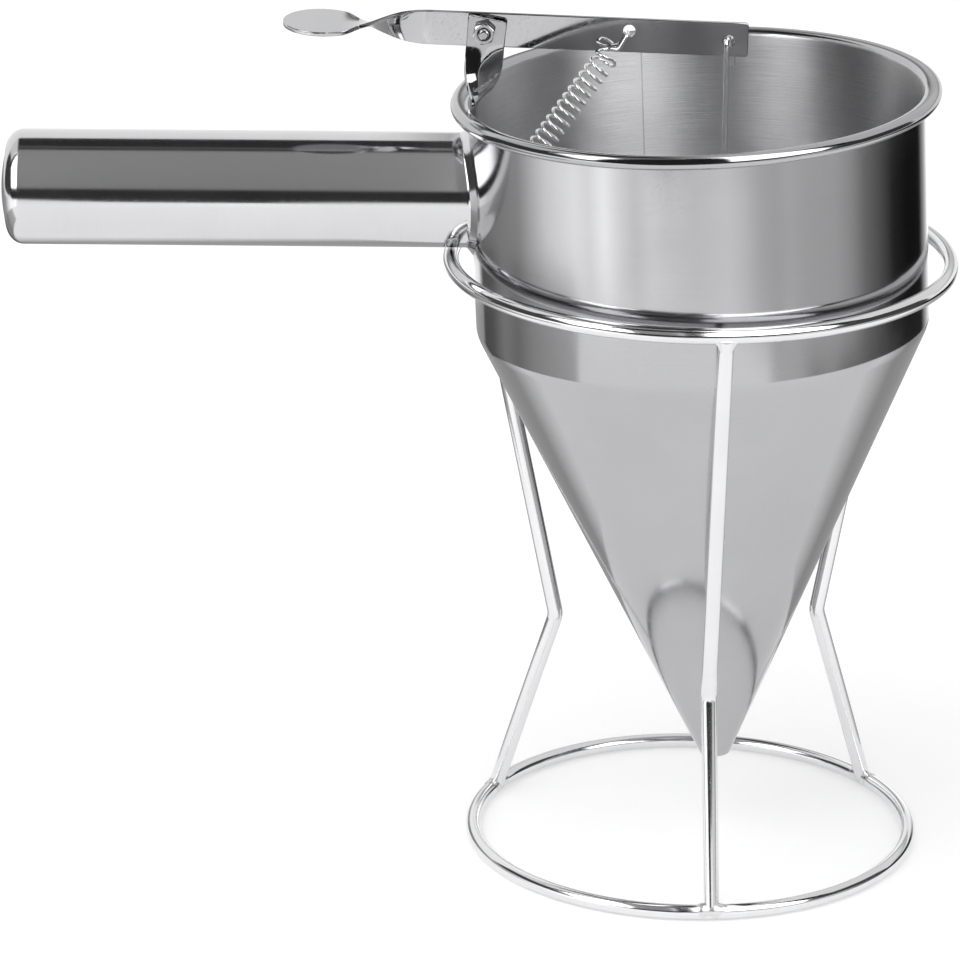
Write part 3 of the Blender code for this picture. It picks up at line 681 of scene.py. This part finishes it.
def leaned(points, lean, place_x, place_z):
    """Lean points about the Y axis, with +X going up, and carry their zero to a place:
    x cos - z sin and x sin + z cos of the lean."""
    x, y, z = np.moveaxis(np.asarray(points, dtype=float), -1, 0)
    return np.stack([place_x + x * math.cos(lean) - z * math.sin(lean), y,
                     place_z + x * math.sin(lean) + z * math.cos(lean)], axis=-1)


def in_cup(points):
    """Carry points from the leaning cup, whose rim is at zero, to the model."""
    return leaned(points, cup_lean, rim_x, rim_z)


def in_cup_vector(*spot):
    """Carry one point from the leaning cup to the model."""
    return Vector(in_cup(spot))


def arc(centre, across_r, up_r, start, end, steps):
    """Points of an arc of an ellipse, both ends included, with its angles in degrees."""
    angle = np.radians(np.linspace(start, end, steps + 1))
    return np.stack([centre[0] + across_r * np.cos(angle),
                     centre[1] + up_r * np.sin(angle)], axis=-1)


def turned(profile, columns=160, start=0.0):
    """Turn a profile of (radius, height) about the Z axis: (r cos a, r sin a, z)."""
    profile = np.asarray(profile)
    angle = start + full_turn(columns)[None, :]
    radius, height = profile[:, :1], profile[:, 1:]
    return np.stack(np.broadcast_arrays(radius * np.cos(angle), radius * np.sin(angle), height),
                    axis=-1)


def straight(start, end, steps):
    """Points between two places of a profile, both ends left out."""
    share = np.arange(1, steps)[:, None] / steps
    return np.array(start) + share * (np.array(end) - np.array(start))


polished_sheet = steel("polished sheet", (0.47, 0.47, 0.48), 0.07, 0.05, 0.00025, along_v=1.0,
                       line_depth=3e-7, line_gloss=0.04, smear_gloss=0.03, wave_depth=1.2e-5,
                       wave_size=0.03)
brushed_sheet = steel("brushed sheet", (0.72, 0.72, 0.73), 0.30, 0.02, 0.0003, along_v=1.0,
                      line_depth=7e-5, line_gloss=0.04, smear_gloss=0.03, tint=0.25,
                      anisotropy=1.0, joint=("Y", 0.0, 0.0006))

shoulder_reach = shoulder_r * math.tan(cone_angle / 2)
band_foot = -band_depth + shoulder_reach
curl_inner_r = bead_r - sheet_t
bead_end = (bead_centre_r + (bead_r - sheet_t / 2) * math.cos(math.radians(bead_end_angle)),
            (bead_r - sheet_t / 2) * math.sin(math.radians(bead_end_angle)))
outside = np.concatenate([
    arc((bead_centre_r, 0), bead_r, bead_r, 90, bead_end_angle, 40),
    arc(bead_end, sheet_t / 2, sheet_t / 2, bead_end_angle, bead_end_angle - 180, 6)[1:-1],
    arc((bead_centre_r, 0), curl_inner_r, curl_inner_r, bead_end_angle, 90, 28),
    arc((bead_centre_r, 0), bead_centre_r - cup_r, curl_inner_r, 90, 180, 10)[1:],
    straight((cup_r, 0), (cup_r, band_foot), 24), [(cup_r, band_foot)]])
inside = np.concatenate([
    [(cup_r - sheet_t, band_foot)],
    straight((cup_r - sheet_t, band_foot), (cup_r - sheet_t, 0), 24),
    arc((bead_centre_r, 0), bead_centre_r - cup_r + sheet_t, bead_r, 180, 90, 12)[:-1]])
brushed_rows = 27
fit_piece("cup_band_sheet",
          in_cup(turned(np.concatenate([outside, inside]), cup_columns, seam_turn)), "cup",
          "sheet", ["cup_band"], polished_sheet, brushed_sheet, looped=True,
          inner_rows=(len(outside), len(outside) + brushed_rows))

shoulder = (cup_r - shoulder_r, band_foot)
turn = math.degrees(cone_angle)
lip = (sheet_t * math.cos(cone_angle), -sheet_t * math.sin(cone_angle))
outside = arc(shoulder, shoulder_r, shoulder_r, 0, -turn, 12)
outside = np.concatenate([outside, straight(outside[-1], (nozzle_r, nozzle_z), 40),
                          [(nozzle_r, nozzle_z)]])
inside = arc(shoulder, shoulder_r - sheet_t, shoulder_r - sheet_t, -turn, 0, 12)
mouth = (nozzle_r - lip[0], nozzle_z - lip[1])
inside = np.concatenate([[mouth], straight(mouth, inside[0], 40), inside])
fit_piece("cup_cone_sheet",
          in_cup(turned(np.concatenate([outside, inside]), cup_columns, seam_turn)), "cup",
          "sheet", ["cup_cone"], polished_sheet, brushed_sheet, looped=True,
          inner_rows=(len(outside), len(outside) + len(inside) - 1))


# Handle: a 32 mm tube, hollowed at its root to fit the band and welded there, with a pressed
# cap closing its other end. The joint is ground flush and the whole is polished.
handle_r = 0.016
handle_wall = 0.001
handle_length = 0.1302
handle_drop = 0.0253
handle_rise = math.radians(2)
cap_corner_r = 0.0045
cap_dome = 0.0016
fillet_r, fillet_sink = 0.0025, 0.0002
tube_end = handle_length - cap_dome - cap_corner_r
handle_columns = 144


def in_handle(points):
    """Carry points from the handle, whose Z runs out from the band and whose X points up, to
    the model."""
    return in_cup(leaned(points, math.radians(90) - handle_rise, -cup_r, -handle_drop))


polished_tube = steel("polished tube", (0.66, 0.66, 0.67), 0.085, 0.03, 0.00022, along_v=1.0,
                      line_depth=3e-7, line_gloss=0.04, smear_gloss=0.03, wave_depth=6e-6,
                      wave_size=0.02)


def handle_tube_grid():
    """The tube. At angle a its root is where radius handle_r meets the band's cylinder, and a
    small weld fillet flares it there: radius + fillet_r (1 - sin of the turn)."""
    angle = full_turn(handle_columns)[None, :] + np.pi
    bend = np.radians(np.linspace(0, 90, 14))[:, None]
    plain = np.linspace(0.02, 1, 25)[:, None]
    flare = np.concatenate([fillet_r * (1 - np.sin(bend)), 0 * plain])
    radius = handle_r + flare
    root = (-cup_r + radius * np.cos(angle) * math.sin(handle_rise)
            + np.sqrt(cup_r ** 2 - (radius * np.sin(angle)) ** 2)) / math.cos(handle_rise)
    lift = np.concatenate([fillet_r * (1 - np.cos(bend)) - fillet_sink, fillet_r + 0 * plain])
    share = np.concatenate([0 * bend, plain])
    distance = root + lift + share * (tube_end - root - lift)
    outer = np.stack([radius * np.cos(angle), radius * np.sin(angle), distance], axis=-1)
    bore_r = handle_r - handle_wall
    bore_root = root[-1:] + fillet_r
    bore_share = np.linspace(1, 0, 10)[:, None]
    bore_distance = bore_root + bore_share * (tube_end - bore_root)
    bore = np.stack(np.broadcast_arrays(bore_r * np.cos(angle), bore_r * np.sin(angle),
                                        bore_distance), axis=-1)
    return np.concatenate([outer, bore])


fit_piece("handle_tube_steel", in_handle(handle_tube_grid()), "cup", "tube", ["handle_tube"],
          polished_tube, looped=True)

face_edge = handle_length - cap_dome
crown_r = handle_r - cap_corner_r
crown = np.linspace(0.03, 1, 14)[:-1, None] * crown_r
crown = np.concatenate([crown, handle_length - cap_dome * (crown / crown_r) ** 2], axis=1)
corner = arc((crown_r, tube_end), cap_corner_r, cap_corner_r, 90, 0, 16)
skirt_r = handle_r - handle_wall - touch_gap
skirt_end = tube_end - 0.006
within = np.array([(skirt_r, tube_end), (skirt_r, skirt_end), (skirt_r - handle_wall, skirt_end),
                   (skirt_r - handle_wall, face_edge - handle_wall),
                   (0.0004, face_edge - handle_wall)])
fit_piece("handle_cap_steel",
          in_handle(turned(np.concatenate([crown, corner, within]), handle_columns, np.pi)),
          "cup", "tube", ["handle_end_cap"], polished_tube)


# Lever bracket: a 10.6 mm strip of 1.2 mm steel, spot welded inside the band. It stands on
# the wall, turns a quarter as it leans out over the rim, carries the pivot in front of the
# lever, and ends below in a tab for the spring.
pivot_reach, pivot_height = 0.0573, 0.0204
lever_t, washer_t = 0.0012, 0.0006
bracket_width, bracket_t = 0.0106, 0.0012
washer_y = -(lever_t / 2 + touch_gap + washer_t)
bracket_y = washer_y - touch_gap - bracket_t / 2
bracket_top = pivot_height + 0.005
bracket_top_reach = 0.0562
bracket_lean = math.tan(math.radians(6.56))
bracket_slant = 0.0025
bracket_twist_top = pivot_height - 0.0036
bracket_twist_height = 0.0173
bracket_foot = -0.0328
bracket_bend_r = 0.0016
bracket_corner_r = 0.0011
tab_width, tab_reach, tab_hole_reach, tab_hole_d = 0.006, 0.006, 0.0036, 0.0026
spot_weld_heights = (-0.0125, -0.0235)
edge_r = 0.00022
corner_steps = np.array([0, 0.06, 0.2, 0.45, 0.75, 1.0])

# Softened edge of a drilled hole, from outside it inwards: how much wider than the hole, and
# how far past the face of the strap
hole_edge = [(0.0006, 0.0005), (0.00012, -0.00001), (0, -0.00014)]


def strap_section(width, thickness):
    """Outline of a strap's section as places across and through it, with rounded edges and
    points close to the edges, which keep its faces flat. Width is one number for each row."""
    inset = np.array([1, 0.985, 0.8, 0.5, 0.2, -0.2, -0.5, -0.8, -0.985, -1])
    bend = np.radians(np.linspace(0, 90, 5))[1:-1]
    across_side = np.concatenate([inset, -np.ones(3), -np.ones(2), -np.ones(3), -inset,
                                  np.ones(3), np.ones(2), np.ones(3)])
    around = np.concatenate([np.zeros(10), -np.sin(bend), [-1, -1], -np.cos(bend), np.zeros(10),
                             np.sin(bend), [1, 1], np.cos(bend)])
    through_side = np.concatenate([np.ones(10), np.ones(3), [1, -1], -np.ones(3), -np.ones(10),
                                   -np.ones(3), [-1, 1], np.ones(3)])
    through_round = np.concatenate([np.ones(10), np.cos(bend), [0, 0], -np.sin(bend),
                                    -np.ones(10), -np.cos(bend), [0, 0], np.sin(bend)])
    half = np.asarray(width, dtype=float)[:, None] / 2 - edge_r
    across = across_side * half + around * edge_r
    through = through_side * (thickness / 2 - edge_r) + through_round * edge_r
    return across, np.broadcast_to(through, across.shape)


def strap_grid(low, high, facing, thickness):
    """A strap between two edge lines, with a normal for each row: middle + across edge +
    through normal. Its two ends are drawn in by the rounding of its edges."""
    low, high, facing = (np.array(values, dtype=float) for values in (low, high, facing))
    facing /= np.linalg.norm(facing, axis=1)[:, None]
    middle = (low + high) / 2
    width = np.linalg.norm(high - low, axis=1)
    edge = (high - low) / width[:, None]
    across, through = strap_section(width, thickness)
    grid = (middle[:, None] + across[..., None] * edge[:, None]
            + through[..., None] * facing[:, None])
    ends = []
    for end, inner in ((0, 1), (-1, -2)):
        inward = middle[inner] - middle[end]
        inward /= np.linalg.norm(inward)
        thinned = grid[end] - facing[end] * (through[end] * (2 * edge_r / thickness))[:, None]
        ends.append((thinned, grid[end] + inward * edge_r))
    return np.concatenate([[ends[0][0], ends[0][1]], grid[1:-1], [ends[1][1], ends[1][0]]])


def bracket_at_wall(angle):
    """Middle of the bracket turned by an angle, its edge held just off the wall."""
    corner_y = bracket_width / 2 * np.sin(angle) + bracket_t / 2 * np.cos(angle) - bracket_y
    corner_x = bracket_width / 2 * np.cos(angle) + bracket_t / 2 * np.sin(angle)
    return corner_x - np.sqrt((cup_r - sheet_t - touch_gap) ** 2 - corner_y ** 2)


def bracket_middle(drop, angle):
    """Middle of the bracket at a depth below its top: the lesser of a line that leans outwards
    and the place at the wall."""
    return np.minimum(-bracket_top_reach - drop * bracket_lean, bracket_at_wall(angle))


def eased(share):
    """Ease a share from 0 to 1: 3 s squared - 2 s cubed."""
    share = np.clip(share, 0, 1)
    return share * share * (3 - 2 * share)


def corner_loss(past, corner_r):
    """What a rounded corner takes off at a distance past its centre: its radius less the root
    of radius squared - distance squared."""
    return corner_r - np.sqrt(np.maximum(corner_r ** 2 - past ** 2, 0))


def drill(obj, holes, depth):
    """Cut round holes with softened edges through a piece. A hole is its middle, the way
    through it and its width."""
    for middle, way, width in holes:
        low = [(width / 2 + wider, -depth / 2 - past) for wider, past in hole_edge]
        high = [(radius, -height) for radius, height in reversed(low)]
        mesh = skin("drill", turned(low + high, 48))
        facing = way.to_track_quat("Z", "Y").to_matrix().to_4x4()
        mesh.transform(Matrix.Translation(middle) @ facing)
        bit = bpy.data.objects.new("drill", mesh)
        scene.collection.objects.link(bit)
        cut = obj.modifiers.new("hole", "BOOLEAN")
        cut.object = bit
        cut.solver = "EXACT"
        bpy.context.view_layer.update()
        drilled = bpy.data.meshes.new_from_object(
            obj.evaluated_get(bpy.context.evaluated_depsgraph_get()))
        obj.modifiers.clear()
        obj.data = drilled
        bpy.data.objects.remove(bit)
    obj.data.set_sharp_from_angle(angle=math.radians(28))


mirror_strap = steel("polished strap", (0.50, 0.50, 0.51), 0.03, 0.02, 0.0001,
                     line_depth=2e-7, line_gloss=0.03, smear_gloss=0.03, wave_depth=2e-6,
                     wave_size=0.02)

share = np.linspace(0, 1, 34)
angle = np.radians(90) * (1 - np.cos(np.radians(90) * share))
height = bracket_twist_top - bracket_twist_height * share
across = np.stack([np.cos(angle), np.sin(angle), 0 * angle], axis=-1)
middle = np.stack([bracket_middle(bracket_top - height, angle), bracket_y + 0 * share, height],
                  axis=-1)
drop = corner_steps * bracket_corner_r
narrow = corner_loss(bracket_corner_r - drop, bracket_corner_r)
plate_height = bracket_top - bracket_twist_top
plate_z = np.concatenate([drop, np.linspace(bracket_corner_r, plate_height, 9)[1:-1]])
slant = bracket_slant * (1 - plate_z / plate_height)
inset = np.concatenate([narrow, np.zeros(7)])
plate_x = -bracket_top_reach - plate_z * bracket_lean
plate_low = np.stack([plate_x - bracket_width / 2 + inset, bracket_y + 0 * plate_z,
                      bracket_top - plate_z - slant * inset / bracket_width], axis=-1)
plate_high = np.stack([plate_x + bracket_width / 2 - inset, bracket_y + 0 * plate_z,
                       bracket_top - plate_z - slant * (1 - inset / bracket_width)], axis=-1)
facing_plate = np.tile([0.0, 1.0, 0.0], (len(plate_z), 1))
wall_x = float(bracket_at_wall(math.radians(90)))
foot = rounded_path([(wall_x, bracket_y, bracket_twist_top - bracket_twist_height),
                     (wall_x, bracket_y, bracket_foot),
                     (wall_x + tab_reach, bracket_y, bracket_foot)], bracket_bend_r)[1:]
going = np.gradient(foot, axis=0)
going /= np.linalg.norm(going, axis=1)[:, None]
half_tab = np.array([0, tab_width / 2, 0])
low = np.concatenate([plate_low, middle - across * bracket_width / 2, foot - half_tab])
high = np.concatenate([plate_high, middle + across * bracket_width / 2, foot + half_tab])
facing_twist = np.stack([-across[:, 1], across[:, 0], 0 * angle], axis=-1)
facing_foot = np.stack([going[:, 2], 0 * going[:, 0], -going[:, 0]], axis=-1)
facing = np.concatenate([facing_plate, facing_twist, facing_foot])
bracket = fit_piece("lever_bracket_strip", in_cup(strap_grid(low, high, facing, bracket_t)),
                    "cup", "strap", ["lever_bracket"], mirror_strap)
pivot = in_cup_vector(-pivot_reach, 0, pivot_height)
tab_hole = in_cup_vector(wall_x + tab_hole_reach, bracket_y, bracket_foot)
cup_up = Vector((-math.sin(cup_lean), 0, math.cos(cup_lean)))
sideways = Vector((0, 1, 0))
hole_play_d = 0.0036
drill(bracket, [(pivot + sideways * bracket_y, sideways, hole_play_d),
                (tab_hole, cup_up, tab_hole_d)], bracket_t)

# Spot welds that hold the bracket's foot to the wall: two shallow round dents
spot_steel = steel("spot weld", (0.45, 0.44, 0.43), 0.3, 0.0006, 0.0003, line_depth=6e-6, tint=0.3)
dimple = turned([(0.00002, 0.00006), (0.0006, 0.00005), (0.0010, 0.00012), (0.0013, 0.00018),
                 (0.0015, 0.00006), (0.0016, -0.0002), (0.00002, -0.0002)], 40)
for i, height in enumerate(spot_weld_heights):
    grid = np.stack([wall_x + bracket_t / 2 + dimple[..., 2], bracket_y + dimple[..., 0],
                     height + dimple[..., 1]], axis=-1)
    fit_piece(f"spot_weld_{i + 1}", in_cup(grid), "cup", "strap", None, spot_steel)


# Pivot: an M3 pan head bolt behind the lever, a washer between lever and bracket, and a
# hexagon nut in front. They are plain stainless, turned and cold formed.
washer_d = 0.007
head_y = lever_t / 2 + touch_gap
head_t, head_d = 0.002, 0.0055
nut_t, nut_flats, nut_turn = 0.0024, 0.0055, math.radians(14)
nut_edge, nut_bore_edge = 0.00042, 0.00018
nut_y = bracket_y - bracket_t / 2 - touch_gap - nut_t
bolt_r, bolt_end, thread_pitch, thread_depth = 0.0015, 0.0008, 0.0005, 0.00022
bolt_tip_length, bolt_tip_drop, bolt_middle_r = 0.0003, 0.00035, 0.00005
pan_side_t, pan_round = 0.0008, 0.0011
cross_half, cross_blur, cross_depth = 0.00042, 0.00016, 0.00105
cross_reach, cross_end_blur = 0.0015, 0.00022


def on_pivot(grid):
    """Lay a shape turned about Z on the pivot, with its Z along the pivot's axis, +Y."""
    return np.stack([pivot.x + grid[..., 0], grid[..., 2], pivot.z - grid[..., 1]], axis=-1)


fastener = steel("plain fastener", (0.66, 0.66, 0.67), 0.14, 0.002, 0.00008, along_v=1.0,
                 line_depth=1e-6, line_gloss=0.1, tint=0.12)

washer_edge = 0.0001
profile = [(hole_play_d / 2, washer_edge), (hole_play_d / 2 + washer_edge, 0),
           (washer_d / 2 - washer_edge, 0), (washer_d / 2, washer_edge),
           (washer_d / 2, washer_t - washer_edge), (washer_d / 2 - washer_edge, washer_t),
           (hole_play_d / 2 + washer_edge, washer_t), (hole_play_d / 2, washer_t - washer_edge)]
fit_piece("pivot_washer_steel", on_pivot(turned(np.array(profile) + (0, washer_y), 64)), "cup",
          "screw", ["pivot_washer"], fastener, crease=25, looped=True)


def hexagon_nut(columns=96):
    """A nut: radius flats / cos of the angle from the nearest flat's middle, cut at both ends
    by a 30 degree chamfer, with a bored and chamfered hole."""
    angle = full_turn(columns)[None, :]
    flat_angle = (angle + np.pi / 6) % (np.pi / 3) - np.pi / 6
    hexagon = nut_flats / 2 / np.cos(flat_angle)
    level = np.concatenate([np.linspace(0, nut_edge, 9),
                            np.linspace(nut_edge, nut_t - nut_edge, 5)[1:-1],
                            np.linspace(nut_t - nut_edge, nut_t, 9)])[:, None]
    from_face = np.minimum(level, nut_t - level)
    outer = np.minimum(hexagon, nut_flats / 2 * 0.95 + from_face / math.tan(math.radians(30)))
    hole_r = hole_play_d / 2
    inner = np.array([(hole_r + nut_bore_edge, nut_t), (hole_r, nut_t - nut_bore_edge),
                      (hole_r, nut_bore_edge), (hole_r + nut_bore_edge, 0)])
    radius = np.concatenate([outer, np.broadcast_to(inner[:, :1], (4, columns))])
    height = np.concatenate([level, inner[:, 1:]]) + nut_y
    turn = angle + nut_turn
    return np.stack(np.broadcast_arrays(radius * np.cos(turn), radius * np.sin(turn), height),
                    axis=-1)


fit_piece("pivot_nut_steel", on_pivot(hexagon_nut()), "cup", "screw", ["pivot_nut"], fastener,
          crease=20, looped=True)


def pan_bolt(columns=96):
    """A bolt: a helical thread r - depth times a triangle wave of height / pitch - turn, a pan
    head rounded like an ellipse, and a cross recess that sinks where |x| or |y| is small."""
    angle = full_turn(columns)[None, :]
    low, seat, top = nut_y - bolt_end, head_y, head_y + head_t
    level = np.linspace(low, seat, 150)[:, None]
    phase = (level / thread_pitch - angle / (2 * np.pi)) % 1
    wave = np.abs(phase * 2 - 1)
    point = np.clip((level - low) / bolt_tip_length, 0, 1)
    radius = bolt_r - thread_depth * wave - bolt_tip_drop * (1 - point)
    start_radius = np.broadcast_to([[bolt_middle_r], [bolt_r * 0.45]], (2, columns))
    start_level = np.full((2, columns), low)
    under = np.array([(head_d / 2 - 0.0001, seat), (head_d / 2, seat + 0.0001)])
    swell = np.radians(np.linspace(0, 90, 14))[:-1]
    pan = np.stack([head_d / 2 - pan_round * (1 - np.cos(swell)),
                    seat + pan_side_t + (head_t - pan_side_t) * np.sin(swell)], axis=-1)
    face_r = np.linspace(head_d / 2 - pan_round, bolt_middle_r, 22)
    face = np.stack([face_r, np.full(22, top)], axis=-1)
    head = np.concatenate([under, pan, face])
    head_radius = np.broadcast_to(head[:, :1], (len(head), columns))
    head_level = np.broadcast_to(head[:, 1:], (len(head), columns)).copy()
    x, y = np.abs(head_radius * np.cos(angle)), np.abs(head_radius * np.sin(angle))
    arm = np.maximum(eased((cross_half - x) / cross_blur), eased((cross_half - y) / cross_blur))
    sink = cross_depth * arm * eased((cross_reach - head_radius) / cross_end_blur)
    sink[:len(under) + len(pan)] = 0
    head_level -= sink
    radius = np.concatenate([start_radius, radius, head_radius])
    height = np.concatenate([start_level, np.broadcast_to(level, (150, columns)), head_level])
    return np.stack(np.broadcast_arrays(radius * np.cos(angle), radius * np.sin(angle), height),
                    axis=-1)


fit_piece("pivot_bolt_steel", on_pivot(pan_bolt()), "cup", "screw", ["pivot_bolt"], fastener,
          crease=30)


# Lever: one straight strap of 1.2 mm steel on edge, twisted flat and pressed wider into the
# thumb pad. Holes take the pivot, the spring and the rod.
lever_tilt = math.radians(4)
strap_height, strap_reach, strap_corner_r = 0.0096, 0.0722, 0.0009
pivot_lean, end_lean, pad_twist = np.radians((1.3, 2.4, 94))
lean_start, lean_length = 0.008, 0.02
twist_start, twist_length = 0.014, 0.025
pad_centre, pad_tip_length, pad_neck_length = 0.0448, 0.0105, 0.0115
pad_width, pad_tip_share = 0.0201, 0.98
rod_hole_reach, rod_hole_drop, rod_hole_d = 0.0669, 0.0005, 0.0034
spring_hole_reach, spring_hole_rise, spring_hole_d = 0.0396, 0.0013, 0.0034


def pad_span(distance):
    """Width of the lever on the thumb's side: an oval pad, blended into the strap's height by
    the sixth root of the sum of sixth powers."""
    length = np.where(distance > pad_centre, pad_tip_length, pad_neck_length)
    oval = pad_width * np.sqrt(np.maximum(1 - ((distance - pad_centre) / length) ** 2, 0))
    neck = (strap_height ** 6 + oval ** 6) ** (1 / 6)
    return np.where(distance > pad_centre, oval, neck)


def on_lever(points):
    """Carry points from the lever's pivot, with X along it towards the rod, to the cup."""
    return leaned(points, -lever_tilt, -pivot_reach, pivot_height)


pad_tip = pad_centre + pad_tip_length
round_share = np.sin(np.radians(90) * pad_tip_share * np.linspace(0, 1, 44))
pad_start = twist_start + twist_length
straight_end = strap_reach - strap_corner_r
reach = np.concatenate([
    strap_reach - corner_steps * strap_corner_r, np.linspace(straight_end, -twist_start, 30)[1:],
    -np.linspace(twist_start, pad_start, 48)[1:],
    -(pad_start + (pad_tip - pad_start) * round_share[1:])])
lean = pivot_lean + (end_lean - pivot_lean) * eased((reach - lean_start) / lean_length)
twist = lean + (pad_twist - lean) * eased((-reach - twist_start) / twist_length)
width = np.where(-reach < twist_start, strap_height, pad_span(-reach))
past = np.clip(reach - strap_reach + strap_corner_r, 0, strap_corner_r)
width = width - 2 * corner_loss(past, strap_corner_r)
edge = np.stack([0 * reach, -np.sin(twist), np.cos(twist)], axis=-1) * width[:, None] / 2
middle = np.stack([reach, 0 * reach, 0 * reach], axis=-1)
facing = np.stack([0 * reach, np.cos(twist), np.sin(twist)], axis=-1)
grid = strap_grid(middle - edge, middle + edge, facing, lever_t)
lever = fit_piece("lever_strap", in_cup(on_lever(grid)), "lever", "strap", ["lever"],
                  mirror_strap)
spring_hole = on_lever((spring_hole_reach, 0, spring_hole_rise))
rod_hole = on_lever((rod_hole_reach, 0, -rod_hole_drop))
drill(lever, [(pivot, sideways, hole_play_d), (in_cup_vector(*rod_hole), sideways, rod_hole_d),
              (in_cup_vector(*spring_hole), sideways, spring_hole_d)], lever_t)


# Valve: a 1.6 mm wire rod, hooked over through the lever's end hole, and the turned plug
# pressed on its foot, which sits in the cone's tip and shuts the nozzle.
rod_r = 0.0008
rod_hook_bend_r, rod_hook_spread, rod_hook_run, rod_tail = 0.0013, 0.0008, 0.007, 0.0085
rod_foot_straight = 0.005
plug_foot = nozzle_z + 0.0035
plug_shoulder = plug_foot + 0.008
plug_top = plug_shoulder + 0.006
plug_top_d, plug_bore_depth = 0.006, 0.005

hook_lift = rod_hole_d / 2 - rod_r - touch_gap
hook = on_lever((rod_hole_reach, 0, hook_lift - rod_hole_drop))
hook_half = lever_t / 2 + touch_gap * 2 + rod_r + rod_hook_bend_r / 2
hook_side = np.array([rod_hook_spread, hook_half, 0])
down = np.array([0, 0, -1])
corners = [(0, 0, plug_top - plug_bore_depth + touch_gap), (0, 0, plug_top + rod_foot_straight),
           hook - hook_side + down * rod_hook_run, hook - hook_side, hook + hook_side,
           hook + hook_side + down * rod_tail]
path, sizes = blunted(rounded_path(corners, rod_hook_bend_r), rod_r)
rod_wire = steel("bright rod wire", (0.78, 0.78, 0.79), 0.07, 0.02, 0.0001, line_depth=5e-7,
                 tint=0.08)
fit_piece("valve_rod_wire", in_cup(carried_circle(path, sizes, seed=(1, 0, 0))), "valve",
          "wire", ["valve_rod"], rod_wire)

turned_steel = steel("turned plug", (0.66, 0.66, 0.67), 0.16, 0.03, 0.00018, along_v=1.0,
                     line_depth=4e-6, line_gloss=0.08, tint=0.12)
plug_gap = (sheet_t + touch_gap) / math.cos(cone_angle)
cone_slope = (cup_r - nozzle_r) / cone_depth
shoulder_wide = nozzle_r + (plug_shoulder - nozzle_z) * cone_slope - plug_gap
foot_wide = nozzle_r + (plug_foot - nozzle_z) * cone_slope - plug_gap
bore_r = rod_r + touch_gap
break_r = 0.0003
profile = np.concatenate([
    [(0.0001, plug_top - plug_bore_depth), (bore_r, plug_top - plug_bore_depth),
     (bore_r, plug_top - break_r / 2), (bore_r + break_r / 2, plug_top)],
    arc((plug_top_d / 2 - break_r, plug_top - break_r), break_r, break_r, 90, 25, 4),
    straight((plug_top_d / 2, plug_top - break_r), (shoulder_wide - break_r, plug_shoulder), 8),
    arc((shoulder_wide - break_r, plug_shoulder), break_r, break_r, 40, -24, 4),
    straight((shoulder_wide, plug_shoulder - break_r), (foot_wide, plug_foot + break_r), 10),
    [(foot_wide - 0.0001, plug_foot + 0.0001), (foot_wide - break_r, plug_foot),
     (0.0001, plug_foot)]])
fit_piece("valve_plug_steel", in_cup(turned(profile, 96)), "valve", "plug", ["valve_plug"],
          turned_steel)


# Return spring: one hard drawn wire, just under 1 mm thick, wound in 17 turns. Its top is a
# loop swung level in front of the lever and hooked through it, and its foot is hooked
# through the tab.
spring_d, spring_wire_r, spring_turns = 0.0071, 0.00048, 17
loop_d, loop_start = 0.008, math.radians(-45)
turn_steps, foot_run_in = 27, 12
foot_hook, hook_bend_r, hook_tail, foot_tail = 0.0085, 0.0009, 0.0028, 0.0024
loop_from_hole = np.array([0.00545, 0.0054, 0.0045])
coil_from_hole = np.array([0.00757, -bracket_y, 0.00817])
anchor = np.array([wall_x + tab_hole_reach, bracket_y, bracket_foot])
over_tab = anchor + np.array([0, 0, bracket_t / 2 + hook_bend_r + 2 * spring_wire_r])
loop_middle = spring_hole - loop_from_hole
coil_top = spring_hole - coil_from_hole
coil_axis = (over_tab - coil_top) / np.linalg.norm(over_tab - coil_top)
pitch = (np.linalg.norm(over_tab - coil_top) - foot_hook) / spring_turns

# The loop is level for half a turn. Then its direction eases from straight down to the coil's
# axis, and its middle goes straight from its own place to the top of the coil.
turns = np.arange(-turn_steps, spring_turns * turn_steps + foot_run_in + 1)[:, None] / turn_steps
swing = np.clip(-turns / 0.5, 0, 1)
past_end = np.maximum(turns - spring_turns, 0) * turn_steps / foot_run_in
way = coil_axis + (np.array([0, 0, -1]) - coil_axis) * eased(swing)
way /= np.linalg.norm(way, axis=1)[:, None]
first = np.array([0, 1, 0]) - way * way[:, 1:2]
first /= np.linalg.norm(first, axis=1)[:, None]
second = np.cross(way, first)
coil_r = spring_d / 2 - spring_wire_r + (loop_d - spring_d) / 2 * eased(swing)
coil_r = coil_r * np.cos(np.radians(90) * past_end)
angle = loop_start + 2 * np.pi * turns
middle = coil_top + (loop_middle - coil_top) * swing + coil_axis * pitch * np.maximum(turns, 0)
coil = middle + coil_r * (first * np.cos(angle) - second * np.sin(angle))

side = np.array([0, lever_t / 2 + touch_gap + spring_wire_r + hook_bend_r, 0])
pull = (coil[0] - spring_hole) * (1, 0, 1)
pull /= np.linalg.norm(pull)
through = spring_hole + pull * (spring_hole_d / 2 - spring_wire_r - touch_gap)
start = rounded_path([through + side + pull * hook_tail, through + side, through - side, coil[0],
                      coil[3]], hook_bend_r, 10)
finish = rounded_path([coil[-1], over_tab, anchor - np.array([0, 0, bracket_t / 2 + foot_tail])],
                      hook_bend_r, 10)
path, sizes = blunted(np.concatenate([start[:-1], coil[3:], finish[1:]]), spring_wire_r, 0.0001)
spring_wire = steel("bright spring wire", (0.93, 0.93, 0.93), 0.14, 0.01, 0.00008,
                    line_depth=4e-7, tint=0.06)
spring = fit_piece("return_spring_wire", in_cup(carried_circle(path, sizes, 12)), None,
                   "spring", ["return_spring"], spring_wire)
in_cup_vector(*over_tab)
in_cup_vector(*coil_top)
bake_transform(spring)
